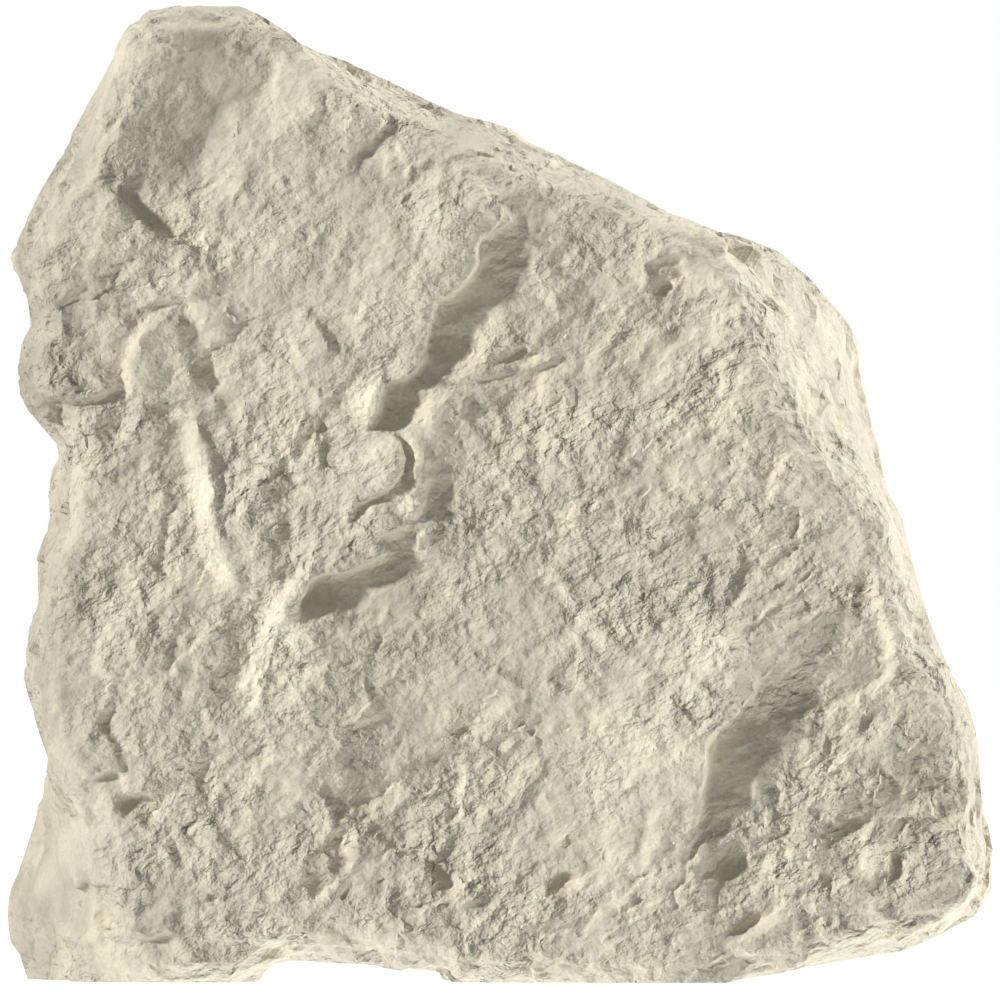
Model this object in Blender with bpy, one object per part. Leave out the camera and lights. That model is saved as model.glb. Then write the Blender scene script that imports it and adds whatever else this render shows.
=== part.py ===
"""A broken block of chalk, standing on its long lower edge.

The broad face looks along -Y and its beds lie parallel to it, so the face steps down from plate to
plate, and the sides show the beds' edges. Lengths are in millimetres until a mesh is written.
Outlines and features are in pixels of a square-on picture of the broad face, 1000 pixels each way,
and WIDTH gives a pixel its real size.
"""

import math

import bmesh
import bpy
import numpy as np

NAME = "chalk_rock"
MM = 0.001

# Driving dimensions, in millimetres
WIDTH = 246.0
FRONT_DEPTH = 58.0
BACK_DEPTH = 58.0
WAIST_Y = 8.0
EDGE_ROLL = 4.0
BED_THICKNESS = 5.5
BED_RELIEF = 1.3
FACET_SIZES = (26.0, 13.0)
FACET_TILT = 0.11
SOFT_EDGE = 1.0

# Mesh fineness
DIRECTIONS = 720
COARSE_VOXEL = 1.8
FINE_VOXEL = 1.5
FRONT_LIMIT_Y = -40.0
FRONT_FACES = 5000
SIDE_AND_BACK_FACES = 4500
SNAP_TO_BASE = 0.25

# The picture's own frame, in pixels
OUTLINE_SPAN = 985.0
MIDDLE_COLUMN = 500.0
BASE_ROW = 981.0
HEART = (500.0, 560.0)

# Outline of the block, clockwise from the knob at the top left, carried on below the base row
OUTLINE = [
    (130, 30), (150, 12), (190, 8), (240, 9), (262, 18), (285, 33), (310, 51), (345, 61), (402, 89),
    (460, 117), (510, 130), (547, 152), (579, 169), (612, 186), (670, 217), (714, 230), (777, 252),
    (812, 282), (829, 304), (844, 319), (855, 338), (862, 380), (870, 420), (880, 460), (885, 490),
    (900, 520), (910, 560), (920, 600), (935, 640), (950, 675), (965, 700), (975, 730), (978, 780),
    (985, 810), (992, 850), (992, 890), (975, 915), (940, 935), (900, 950), (850, 958), (800, 966),
    (745, 974), (702, 983), (690, 1037), (455, 1037), (447, 985), (440, 970), (399, 966), (373, 961),
    (340, 960), (293, 958), (272, 962), (264, 972), (257, 983), (225, 1037), (34, 1037), (26, 980),
    (20, 955), (11, 942), (7, 911), (11, 890), (22, 864), (35, 820), (43, 783), (52, 757), (40, 725),
    (31, 700), (25, 680), (24, 650), (35, 615), (40, 600), (38, 560), (50, 520), (46, 490), (55, 450),
    (50, 435), (30, 412), (19, 395), (18, 368), (22, 345), (33, 328), (30, 305), (18, 280), (10, 258),
    (20, 228), (48, 178), (75, 130), (95, 93), (112, 60), (122, 45),
]

# Rim of the broad face, inside the outline, clockwise from the same corner
FRONT_RIM = [
    (150, 28), (190, 20), (240, 22), (262, 28), (282, 42), (300, 58), (330, 72), (358, 87), (380, 100),
    (417, 115), (451, 130), (482, 141), (503, 152), (525, 160), (570, 174), (612, 194), (668, 222),
    (712, 243), (727, 258), (742, 275), (764, 315), (768, 336), (775, 360), (790, 400), (805, 440),
    (830, 465), (858, 492), (874, 520), (884, 555), (904, 620), (918, 655), (934, 690), (950, 720),
    (961, 750), (965, 790), (974, 850), (974, 880), (960, 900), (925, 920), (880, 936), (840, 945),
    (795, 952), (745, 960), (705, 968), (660, 975), (500, 975), (456, 972), (440, 958), (399, 954),
    (373, 949), (340, 947), (293, 946), (268, 950), (254, 962), (240, 974), (190, 976), (140, 968),
    (126, 940), (122, 900), (112, 850), (100, 820), (88, 795), (62, 772), (52, 745), (45, 700),
    (42, 650), (48, 600), (55, 560), (68, 520), (74, 470), (72, 430), (60, 408), (42, 395), (36, 370),
    (38, 345), (48, 330), (45, 310), (30, 268), (30, 250), (38, 228), (60, 200), (85, 172), (100, 140),
    (115, 105), (128, 70), (140, 42),
]

# Spot heights of the broad face without its steps: column, row, millimetres towards the viewer
FRONT_SPOTS = [
    (190, 20, 0.6), (250, 30, -0.6), (355, 100, 0.8), (100, 130, 1.2), (260, 125, 0.0),
    (305, 130, 0.8), (340, 125, 0.4), (395, 130, -1.6), (440, 135, -1.2), (360, 180, 0.2),
    (455, 175, 1.0), (500, 180, 0.8), (548, 185, -1.6), (590, 190, -1.4), (30, 240, -0.6),
    (110, 225, 0.8), (215, 225, -0.8), (260, 230, 0.2), (350, 230, 0.1), (550, 235, -1.8),
    (600, 235, -3.4), (695, 245, -2.6), (25, 280, 0.0), (150, 275, -0.4), (400, 275, 0.2),
    (600, 285, -4.6), (700, 285, -4.6), (740, 285, -0.8), (775, 285, -0.8), (100, 330, -0.2),
    (230, 325, -0.8), (300, 325, -1.0), (410, 325, -1.0), (650, 330, -3.8), (745, 335, -0.2),
    (790, 340, 1.4), (50, 375, -0.4), (95, 375, -1.6), (160, 370, -1.2), (230, 370, -2.4),
    (290, 375, -1.0), (340, 375, -0.4), (550, 380, -3.8), (650, 380, -3.0), (700, 385, -1.6),
    (800, 385, 0.8), (125, 425, -2.8), (235, 430, -3.2), (290, 430, -1.4), (345, 430, -1.2),
    (500, 430, -2.6), (600, 430, -1.4), (700, 430, 0.8), (340, 480, -0.6), (388, 472, 1.8),
    (460, 480, -1.4), (510, 480, -1.0), (755, 480, 1.8), (850, 490, 3.0), (110, 530, -1.8),
    (245, 530, 1.6), (450, 530, -1.6), (550, 530, -1.6), (700, 530, -0.8), (800, 530, -1.2),
    (840, 530, -0.2), (875, 540, 1.2), (50, 580, -1.2), (100, 580, -1.8), (150, 580, -1.6),
    (240, 580, 1.0), (450, 590, -1.8), (650, 590, 0.0), (750, 590, -0.8), (850, 590, -1.0),
    (50, 640, -1.2), (90, 640, 0.2), (140, 640, 1.4), (190, 640, 1.8), (235, 640, 1.2),
    (370, 650, 0.6), (470, 650, -0.8), (520, 650, -0.6), (670, 650, 1.6), (730, 650, 4.4),
    (800, 640, 1.6), (150, 700, 0.8), (240, 700, 0.6), (310, 700, 2.4), (410, 700, -0.8),
    (560, 700, -1.0), (790, 690, -0.4), (840, 690, -1.6), (80, 755, 0.2), (200, 755, -0.2),
    (250, 755, -0.4), (310, 755, 0.8), (360, 755, -1.0), (410, 755, -2.8), (510, 755, -3.6),
    (560, 755, -2.8), (660, 755, 2.0), (700, 755, 3.4), (880, 760, -2.0), (270, 810, -0.8),
    (620, 810, -0.6), (672, 810, 2.2), (745, 820, -1.6), (800, 820, -1.4), (930, 820, -3.2),
    (130, 870, -0.4), (250, 870, -0.8), (300, 870, 0.8), (360, 870, -1.6), (540, 870, -1.4),
    (600, 870, -0.8), (655, 870, 1.4), (760, 880, -1.6), (830, 880, -1.6), (130, 955, -0.8),
    (200, 930, -0.6), (300, 930, -0.4), (400, 930, -0.2), (500, 935, 0.8), (780, 930, 0.6),
    (930, 900, 0.2),
]

# Steps of the broad face. The high side lies to the left of a walk along the points. Each has its
# height, how far it lifts the high side and sinks the low side, and the width of its broken edge.
FRONT_STEPS = [
    ("middle scarp", 5.4, 16.0, 20.0, 1.4, [
        (300, 632), (299, 602), (308, 588), (320, 577), (345, 575), (368, 566), (391, 553), (384, 540),
        (400, 530), (418, 514), (426, 498)]),
    ("upper middle scarp", 2.6, 5.0, 14.0, 1.2, [
        (408, 524), (424, 500), (428, 482), (428, 462), (420, 446), (410, 428)]),
    ("upper plate edge", 4.4, 30.0, 24.0, 1.4, [
        (420, 372), (428, 350), (432, 330), (438, 302), (455, 296), (476, 270), (481, 244), (500, 228),
        (520, 214)]),
    ("upper plate corner", 3.0, 8.0, 16.0, 1.2, [
        (366, 436), (380, 412), (381, 398), (390, 386), (405, 381), (418, 370), (428, 352)]),
    ("lower right scarp", 5.6, 30.0, 14.0, 1.4, [
        (690, 846), (699, 818), (703, 790), (706, 765), (710, 742), (720, 726), (737, 715), (745, 698),
        (757, 682), (775, 662)]),
    ("long slope", 4.4, 4.0, 14.0, 9.0, [
        (322, 535), (306, 568), (288, 598), (276, 620), (262, 650), (254, 690), (256, 728)]),
    ("middle plate edge", 3.4, 18.0, 6.0, 1.2, [
        (345, 528), (353, 518), (358, 504), (375, 494), (390, 486), (399, 476), (402, 458), (398, 440),
        (388, 428)]),
    ("tall slope", 3.6, 8.0, 10.0, 8.0, [
        (192, 396), (190, 430), (196, 460), (202, 490), (204, 520), (212, 550), (226, 580), (234, 605)]),
    ("drop right of the tall slope", 1.1, 3.0, 9.0, 1.6, [
        (232, 552), (222, 530), (216, 505), (219, 485), (214, 455), (204, 430), (203, 408)]),
    ("crescent", 2.2, 12.0, 6.0, 2.2, [
        (174, 304), (150, 322), (135, 345), (127, 370), (128, 395), (138, 408)]),
    ("slope behind the crescent", 2.8, 6.0, 8.0, 9.0, [
        (206, 404), (196, 370), (188, 340), (182, 314)]),
    ("recess below the knob", 3.6, 16.0, 12.0, 1.2, [
        (208, 254), (196, 249), (178, 243), (160, 236), (147, 222), (134, 212), (124, 198), (116, 184)]),
    ("left ledge", 1.6, 8.0, 6.0, 1.0, [
        (136, 315), (170, 303), (185, 300), (205, 295), (225, 290), (250, 286)]),
    ("left plate edge", 2.4, 10.0, 9.0, 1.0, [
        (78, 783), (95, 776), (108, 772), (121, 770), (119, 758), (118, 745), (110, 735), (104, 726),
        (105, 712), (111, 703), (106, 690)]),
    ("ridge of the right block", 1.7, 6.0, 15.0, 1.6, [
        (875, 562), (876, 600), (881, 628), (892, 655), (886, 675), (870, 691), (850, 700), (830, 710),
        (800, 716), (766, 725)]),
    ("corner above the right block", 1.0, 5.0, 6.0, 1.2, [(946, 653), (925, 658), (905, 657), (892, 661)]),
    ("bevel at the foot", 1.8, 10.0, 12.0, 1.2, [
        (446, 884), (430, 868), (418, 854), (400, 846), (380, 835), (360, 831), (344, 826)]),
    ("foot ledge", 3.0, 6.0, 9.0, 1.2, [
        (56, 948), (82, 943), (104, 938), (122, 934), (150, 934), (192, 934)]),
    ("second foot ledge", 1.5, 5.0, 6.0, 1.2, [(206, 938), (240, 939), (275, 941), (310, 948)]),
    ("slanting nick", 1.0, 4.0, 6.0, 1.0, [(498, 464), (494, 448), (480, 434), (469, 419), (465, 396)]),
    ("shoulder of the upper plate", 1.6, 9.0, 9.0, 1.4, [
        (306, 132), (318, 120), (322, 104), (322, 90)]),
    ("top facet", 1.8, 6.0, 14.0, 2.0, [(350, 178), (352, 160), (366, 140), (384, 128), (388, 112)]),
    ("upper right pocket", 2.2, 5.0, 12.0, 1.2, [(663, 302), (652, 282), (645, 265), (660, 259), (692, 256)]),
    ("top pocket", 1.9, 5.0, 8.0, 1.0, [(548, 197), (536, 182), (529, 166), (545, 162), (574, 168)]),
    ("lobe ledge", 1.8, 6.0, 6.0, 1.2, [(34, 400), (60, 403), (80, 404), (100, 398), (120, 383)]),
    ("crumbled crest", 1.6, 8.0, 8.0, 1.4, [(328, 844), (336, 825), (334, 802), (318, 788)]),
]

# Creases of the broad face: height (negative for a valley), reach to its left and right, points
FRONT_CREASES = [
    ("knob valley", -4.6, 34.0, 11.0, [
        (203, 215), (202, 180), (204, 158), (212, 132), (226, 112), (250, 98), (268, 84), (280, 66), (294, 36)]),
    ("fin beside the middle scarp", 0.9, 3.0, 2.5, [(412, 524), (416, 500), (416, 478), (412, 456)]),
    ("small plate crest", 1.4, 6.5, 1.2, [(376, 432), (382, 412), (383, 395), (386, 372)]),
    ("small plate groove", -1.0, 1.6, 1.6, [(332, 396), (350, 415), (364, 430), (382, 434)]),
    ("flake crest", 1.1, 6.0, 1.6, [(331, 362), (330, 345), (320, 328), (300, 308)]),
    ("crack below the lower right scarp", -1.2, 1.8, 1.8, [(668, 896), (678, 878), (686, 860), (697, 830)]),
    ("right block arc", -1.4, 2.6, 2.6, [(896, 846), (898, 868), (886, 884), (868, 897)]),
]

# Hollows of the broad face: column, row, half length and half width in pixels, turn in degrees, depth
FRONT_HOLLOWS = [
    (522, 358, 28, 12, 8, 1.8), (789, 369, 12, 15, 0, 2.2), (782, 407, 21, 11, 0, 1.2),
    (794, 520, 7, 18, 0, 1.7), (864, 581, 11, 17, 0, 1.4), (903, 608, 11, 14, 0, 1.5),
    (919, 637, 15, 19, 0, 1.8), (870, 725, 10, 21, 0, 1.5), (828, 748, 9, 13, 0, 1.2),
    (777, 795, 9, 15, 0, 1.5), (732, 862, 24, 20, 40, 2.4), (950, 800, 23, 29, 0, 2.2),
    (855, 827, 27, 10, 25, 1.5), (880, 931, 22, 13, 0, 1.4), (751, 924, 35, 10, 18, 1.8),
    (565, 882, 20, 10, 10, 2.0), (143, 805, 27, 15, -20, 2.2), (208, 780, 10, 29, 0, 1.4),
    (165, 411, 21, 9, 0, 1.4), (117, 432, 14, 17, 0, 1.4), (372, 790, 34, 30, 20, 1.2),
    (215, 897, 9, 8, 0, 1.5), (870, 860, 22, 19, 0, -1.2),
]

# Spot heights and steps of the back face, as seen in the same picture
BACK_SPOTS = [
    (150, 60, -3.0), (300, 150, 1.0), (120, 300, -2.0), (320, 360, 3.0), (520, 240, -1.0),
    (700, 330, -4.0), (600, 480, 2.5), (820, 520, -3.0), (420, 620, 4.0), (150, 620, 0.5),
    (700, 700, 1.0), (900, 780, -4.0), (260, 850, -1.0), (560, 860, -2.0), (100, 900, -4.0),
]
BACK_STEPS = [
    ("back upper step", 5.0, 28.0, 22.0, 1.6, [
        (180, 330), (260, 300), (340, 320), (430, 290), (520, 330), (600, 320)]),
    ("back right scarp", 5.5, 24.0, 26.0, 1.6, [
        (640, 860), (670, 780), (640, 700), (700, 620), (720, 540), (780, 470)]),
    ("back low ledge", 3.5, 18.0, 16.0, 1.6, [(140, 760), (230, 730), (320, 770), (420, 750), (520, 790)]),
    ("back corner break", 3.0, 14.0, 14.0, 1.6, [(330, 560), (290, 500), (220, 480), (160, 430)]),
]

STEP_END_FADE = 0.16
LOW_SHARE = 0.5
CHALK_COLOUR = (0.60, 0.55, 0.44, 1.0)
CHALK_ROUGHNESS = 0.95

PIXEL = WIDTH / OUTLINE_SPAN


def column_to_x(column):
    return (np.asarray(column, float) - MIDDLE_COLUMN) * PIXEL


def row_to_z(row):
    return (BASE_ROW - np.asarray(row, float)) * PIXEL


def to_plane(points):
    """Picture points as an array of (x, z) in millimetres."""
    grid = np.array(points, float)
    return np.column_stack([column_to_x(grid[:, 0]), row_to_z(grid[:, 1])])


def ease(t):
    t = np.clip(t, 0.0, 1.0)
    return t * t * (3.0 - 2.0 * t)


def ray_lengths(polygon, heart, angles):
    """How far a closed polygon lies from the heart in each direction."""
    corners = polygon - heart
    lengths = np.zeros(len(angles))
    directions = np.column_stack([np.cos(angles), np.sin(angles)])
    for start, end in zip(corners, np.roll(corners, -1, axis=0)):
        edge = end - start
        spread = directions[:, 0] * edge[1] - directions[:, 1] * edge[0]
        spread = np.where(np.abs(spread) < 1e-9, 1e-9, spread)
        reach = (start[0] * edge[1] - start[1] * edge[0]) / spread
        place = (start[0] * directions[:, 1] - start[1] * directions[:, 0]) / spread
        hit = (reach > 0.0) & (place >= -1e-6) & (place <= 1.0 + 1e-6)
        lengths = np.where(hit, np.maximum(lengths, reach), lengths)
    return lengths


def make_blank():
    """The closed form before it breaks: front rim, waist and back rim joined ring by ring."""
    heart = to_plane([HEART])[0]
    angles = np.linspace(0.0, 2.0 * math.pi, DIRECTIONS, endpoint=False)
    waist = ray_lengths(to_plane(OUTLINE), heart, angles)
    front = np.minimum(ray_lengths(to_plane(FRONT_RIM), heart, angles), waist - 2.0)
    back = waist * (0.87 + 0.05 * np.sin(2.0 * angles + 1.2) + 0.03 * np.sin(5.0 * angles))
    band = waist - front
    rings = [
        (front * 0.35, -FRONT_DEPTH), (front * 0.7, -FRONT_DEPTH),
        (front - EDGE_ROLL, -FRONT_DEPTH), (front + band * 0.1, -FRONT_DEPTH + EDGE_ROLL),
        (front + band * 0.55, WAIST_Y - 0.5 * FRONT_DEPTH), (waist, WAIST_Y),
        (waist * 0.6 + back * 0.4, 0.6 * BACK_DEPTH), (back, BACK_DEPTH - EDGE_ROLL),
        (back - EDGE_ROLL, BACK_DEPTH), (back * 0.6, BACK_DEPTH),
    ]
    vertices = [(heart[0], -FRONT_DEPTH, heart[1])]
    for radius, depth in rings:
        xs = heart[0] + radius * np.cos(angles)
        zs = heart[1] + radius * np.sin(angles)
        vertices += [(x, depth, z) for x, z in zip(xs, zs)]
    vertices.append((heart[0], BACK_DEPTH, heart[1]))

    faces = []
    last = len(vertices) - 1
    final_ring = 1 + (len(rings) - 1) * DIRECTIONS
    for i in range(DIRECTIONS):
        j = (i + 1) % DIRECTIONS
        faces.append((0, 1 + i, 1 + j))
        for ring in range(len(rings) - 1):
            near = 1 + ring * DIRECTIONS
            far = near + DIRECTIONS
            faces.append((near + i, far + i, far + j, near + j))
        faces.append((final_ring + i, last, final_ring + j))

    mesh = bpy.data.meshes.new(NAME)
    mesh.from_pydata([(x * MM, y * MM, z * MM) for x, y, z in vertices], [], faces)
    mesh.update()
    return mesh


def read_points(mesh):
    points = np.empty(len(mesh.vertices) * 3)
    mesh.vertices.foreach_get("co", points)
    return points.reshape(-1, 3) / MM


def read_normals(mesh):
    normals = np.empty(len(mesh.vertices) * 3)
    mesh.vertex_normals.foreach_get("vector", normals)
    return normals.reshape(-1, 3)


def write_points(mesh, points):
    mesh.vertices.foreach_set("co", (points * MM).ravel())
    mesh.update()


def apply_modifiers(rock):
    evaluated = rock.evaluated_get(bpy.context.evaluated_depsgraph_get())
    mesh = bpy.data.meshes.new_from_object(evaluated)
    worn = rock.data
    rock.modifiers.clear()
    rock.data = mesh
    bpy.data.meshes.remove(worn)
    mesh.name = NAME


def remesh(rock, voxel):
    modifier = rock.modifiers.new("Voxels", "REMESH")
    modifier.mode = "VOXEL"
    modifier.voxel_size = voxel * MM
    apply_modifiers(rock)


def thin_kernel(distance):
    return np.where(distance > 0.0, distance ** 2 * np.log(np.maximum(distance, 1e-9)), 0.0)


def spot_sheet(spots, x, z):
    """A bending sheet through the spot heights, evaluated at x and z."""
    places = to_plane([(column, row) for column, row, _ in spots])
    heights = np.array([height for _, _, height in spots])
    count = len(spots)
    apart = np.hypot(places[:, None, 0] - places[None, :, 0], places[:, None, 1] - places[None, :, 1])
    flat = np.column_stack([np.ones(count), places])
    system = np.zeros((count + 3, count + 3))
    system[:count, :count] = thin_kernel(apart)
    system[:count, count:] = flat
    system[count:, :count] = flat.T
    weights = np.linalg.solve(system, np.concatenate([heights, np.zeros(3)]))
    sheet = weights[count] + weights[count + 1] * x + weights[count + 2] * z
    for weight, place in zip(weights[:count], places):
        sheet += weight * thin_kernel(np.hypot(x - place[0], z - place[1]))
    return sheet


def near_line(line, x, z):
    """Distance to a line of points, positive on its left, and the place along it from 0 to 1."""
    lengths = np.hypot(*(line[1:] - line[:-1]).T)
    distance = np.full(x.shape, 1e9)
    rank = np.full(x.shape, 1e9)
    place = np.zeros(x.shape)
    run = 0.0
    for start, end, length in zip(line[:-1], line[1:], lengths):
        ahead_x, ahead_z = (end - start) / length
        from_x = x - start[0]
        from_z = z - start[1]
        along = np.clip(from_x * ahead_x + from_z * ahead_z, 0.0, length)
        away = np.hypot(from_x - along * ahead_x, from_z - along * ahead_z)
        across = ahead_x * from_z - ahead_z * from_x
        closer = away - 1e-4 * np.abs(across) < rank
        rank = np.where(closer, away - 1e-4 * np.abs(across), rank)
        distance = np.where(closer, np.copysign(away, across), distance)
        place = np.where(closer, (run + along) / lengths.sum(), place)
        run += length
    return distance, place


def end_fade(place):
    return ease(place / STEP_END_FADE) * ease((1.0 - place) / STEP_END_FADE)


def around_line(line, reach, x, z):
    """Which points lie in the box of a line widened by its reach."""
    low = line.min(axis=0) - reach
    high = line.max(axis=0) + reach
    return (x > low[0]) & (x < high[0]) & (z > low[1]) & (z < high[1])


def add_step(relief, step, x, z):
    _, height, reach_high, reach_low, edge_width, points = step
    line = to_plane(points)
    near = around_line(line, max(reach_high, reach_low, edge_width), x, z)
    distance, place = near_line(line, x[near], z[near])
    high = (1.0 - LOW_SHARE) * (1.0 - ease(distance / reach_high))
    low = -LOW_SHARE * (1.0 - ease(-distance / reach_low))
    rise = ease(0.5 + distance / edge_width)
    relief[near] += height * end_fade(place) * (rise * high + (1.0 - rise) * low)


def add_crease(relief, crease, x, z):
    _, height, reach_left, reach_right, points = crease
    line = to_plane(points)
    near = around_line(line, max(reach_left, reach_right), x, z)
    distance, place = near_line(line, x[near], z[near])
    reach = np.where(distance > 0.0, reach_left, reach_right)
    relief[near] += height * end_fade(place) * np.clip(1.0 - np.abs(distance) / reach, 0.0, 1.0)


def add_hollow(relief, hollow, x, z):
    column, row, half_length, half_width, turn, depth = hollow
    from_x = x - column_to_x(column)
    from_z = z - row_to_z(row)
    cos_turn = math.cos(math.radians(turn))
    sin_turn = math.sin(math.radians(turn))
    along = (from_x * cos_turn + from_z * sin_turn) / (half_length * PIXEL)
    across = (from_z * cos_turn - from_x * sin_turn) / (half_width * PIXEL)
    relief -= depth * ease(1.6 * (1.0 - np.sqrt(along ** 2 + across ** 2)))


def front_relief(x, z):
    relief = spot_sheet(FRONT_SPOTS, x, z)
    for step in FRONT_STEPS:
        add_step(relief, step, x, z)
    for crease in FRONT_CREASES:
        add_crease(relief, crease, x, z)
    for hollow in FRONT_HOLLOWS:
        add_hollow(relief, hollow, x, z)
    return relief


def back_relief(x, z):
    relief = spot_sheet(BACK_SPOTS, x, z)
    for step in BACK_STEPS:
        add_step(relief, step, x, z)
    return relief


def lattice_noise(points, size, seed):
    """Smooth noise from -1 to 1, with features about as wide as size."""
    table = np.random.default_rng(seed).random(4096) * 2.0 - 1.0
    cell = np.floor(points / size).astype(np.int64)
    inside = ease(points / size - cell)
    total = np.zeros(len(points))
    for corner in np.ndindex(2, 2, 2):
        key = cell + corner
        index = (key[:, 0] * 73856093 ^ key[:, 1] * 19349663 ^ key[:, 2] * 83492791) % 4096
        weight = np.prod(np.where(np.array(corner) == 1, inside, 1.0 - inside), axis=1)
        total += weight * table[index]
    return total


def facets(points, size, tilt, seed):
    """Broken facets: each cell of the stone has its own tilted plane."""
    table = np.random.default_rng(seed).random((4096, 6))
    cell = np.floor(points / size).astype(np.int64)
    nearest = np.full(len(points), 1e9)
    height = np.zeros(len(points))
    for offset in np.ndindex(3, 3, 3):
        key = cell + offset - 1
        index = (key[:, 0] * 73856093 ^ key[:, 1] * 19349663 ^ key[:, 2] * 83492791) % 4096
        away = points - (key + table[index, :3]) * size
        distance = np.einsum("ij,ij->i", away, away)
        closer = distance < nearest
        nearest = np.where(closer, distance, nearest)
        slope = (table[index, 3:] * 2.0 - 1.0) * tilt
        height = np.where(closer, np.einsum("ij,ij->i", away, slope), height)
    return height


def bed_edges(points, seed):
    """How far each bed stands out of the sides."""
    warped = points[:, 1] + 5.0 * lattice_noise(points, 45.0, seed)
    layer = warped / BED_THICKNESS
    table = np.random.default_rng(seed + 1).random(512) * 2.0 - 1.0
    below = np.floor(layer).astype(np.int64)
    part = ease((layer - below - 0.4) / 0.2)
    patch = lattice_noise(points, 30.0, seed + 2)
    return (table[below % 512] * (1.0 - part) + table[(below + 1) % 512] * part) * (0.65 + 0.5 * patch)


def hold_outline(points):
    """Press whatever swells past the outline back inside it, softly."""
    heart = to_plane([HEART])[0]
    from_x = points[:, 0] - heart[0]
    from_z = points[:, 2] - heart[1]
    radius = np.hypot(from_x, from_z)
    angles = np.linspace(-math.pi, math.pi, 2 * DIRECTIONS + 1)
    limits = ray_lengths(to_plane(OUTLINE), heart, angles)
    limit = np.interp(np.arctan2(from_z, from_x), angles, limits)
    excess = radius - limit + SOFT_EDGE
    pressed = np.where(excess > 0.0, limit - SOFT_EDGE * np.exp(-excess / SOFT_EDGE), radius)
    factor = pressed / np.maximum(radius, 1e-6)
    held = points.copy()
    held[:, 0] = heart[0] + from_x * factor
    held[:, 2] = heart[1] + from_z * factor
    return held


def break_surface(mesh):
    """Move every point of the blank to the broken surface."""
    points = read_points(mesh)
    normals = read_normals(mesh)
    x = points[:, 0]
    z = points[:, 2]
    side = ease(1.4 * (1.0 - np.abs(normals[:, 1])))
    front = ease((WAIST_Y - points[:, 1]) / (0.55 * FRONT_DEPTH))
    back = ease((points[:, 1] - WAIST_Y) / (0.7 * BACK_DEPTH))

    swell = side * (BED_RELIEF * bed_edges(points, 11) + 2.0 * lattice_noise(points, 38.0, 21))
    for number, size in enumerate(FACET_SIZES):
        swell += (0.35 + 0.65 * side) * facets(points, size, FACET_TILT, 31 + number)
    moved = hold_outline(points + normals * swell[:, None])
    on_front = front > 0.0
    on_back = back > 0.0
    moved[on_front, 1] -= front[on_front] * front_relief(x[on_front], z[on_front])
    moved[on_back, 1] += back[on_back] * back_relief(x[on_back], z[on_back])
    write_points(mesh, moved)


def thin_out(rock, thin_front, faces_left):
    """Collapse the faces of the broad face, or all the others, until faces_left of them are left."""
    on_front = read_points(rock.data)[:, 1] < FRONT_LIMIT_Y
    rock.data.calc_loop_triangles()
    corners = np.empty(len(rock.data.loop_triangles) * 3, dtype=np.int32)
    rock.data.loop_triangles.foreach_get("vertices", corners)
    thinned = on_front if thin_front else ~on_front
    kept_faces = np.count_nonzero(~thinned[corners.reshape(-1, 3)].any(axis=1))

    group = rock.vertex_groups.new(name="thinned")
    group.add(np.flatnonzero(thinned).tolist(), 1.0, "REPLACE")
    modifier = rock.modifiers.new("Fewer faces", "DECIMATE")
    modifier.vertex_group = group.name
    modifier.ratio = (kept_faces + faces_left) / len(rock.data.loop_triangles)
    modifier.use_collapse_triangulate = True
    apply_modifiers(rock)
    rock.vertex_groups.clear()


def cut_base(rock):
    """Cut the foot flat at z = 0 and close it, then centre the block over the origin."""
    model = bmesh.new()
    model.from_mesh(rock.data)
    everything = model.verts[:] + model.edges[:] + model.faces[:]
    bmesh.ops.bisect_plane(model, geom=everything, dist=SNAP_TO_BASE * MM, plane_co=(0, 0, 0),
                           plane_no=(0, 0, 1), clear_inner=True)
    for vertex in model.verts:
        if vertex.co.z < SNAP_TO_BASE * MM:
            vertex.co.z = 0.0
    rim = [edge for edge in model.edges if edge.is_boundary]
    bmesh.ops.holes_fill(model, edges=rim, sides=0)
    bmesh.ops.triangulate(model, faces=model.faces[:])
    bmesh.ops.dissolve_degenerate(model, dist=0.02 * MM, edges=model.edges[:])
    bmesh.ops.recalc_face_normals(model, faces=model.faces[:])
    model.to_mesh(rock.data)
    model.free()

    points = read_points(rock.data)
    middle = 0.5 * (points.min(axis=0) + points.max(axis=0))
    points[:, :2] -= middle[:2]
    write_points(rock.data, points)


def chalk_material():
    material = bpy.data.materials.new("chalk")
    material.use_nodes = True
    shader = material.node_tree.nodes["Principled BSDF"]
    shader.inputs["Base Color"].default_value = CHALK_COLOUR
    shader.inputs["Roughness"].default_value = CHALK_ROUGHNESS
    shader.inputs["Metallic"].default_value = 0.0
    material.diffuse_color = CHALK_COLOUR
    return material


def clear_scene():
    for item in list(bpy.data.objects):
        bpy.data.objects.remove(item, do_unlink=True)


def main():
    clear_scene()
    rock = bpy.data.objects.new(NAME, make_blank())
    bpy.context.scene.collection.objects.link(rock)
    remesh(rock, COARSE_VOXEL)
    break_surface(rock.data)
    remesh(rock, FINE_VOXEL)
    thin_out(rock, False, SIDE_AND_BACK_FACES)
    thin_out(rock, True, FRONT_FACES)
    cut_base(rock)
    rock.data.materials.clear()
    rock.data.materials.append(chalk_material())


main()
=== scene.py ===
"""The looks of a broken block of chalk: its full broken surface, its finish, the light and the camera.

The block is broken in the same way as its solid, from the same outline and features. Some of them are
higher or lower here, and finer ones are added. The broad face looks along -Y. Lengths are in millimetres
until a mesh is written. Outlines and features are in pixels of a square-on picture of the broad face,
1000 pixels each way, and WIDTH gives a pixel its real size.
"""

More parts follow.
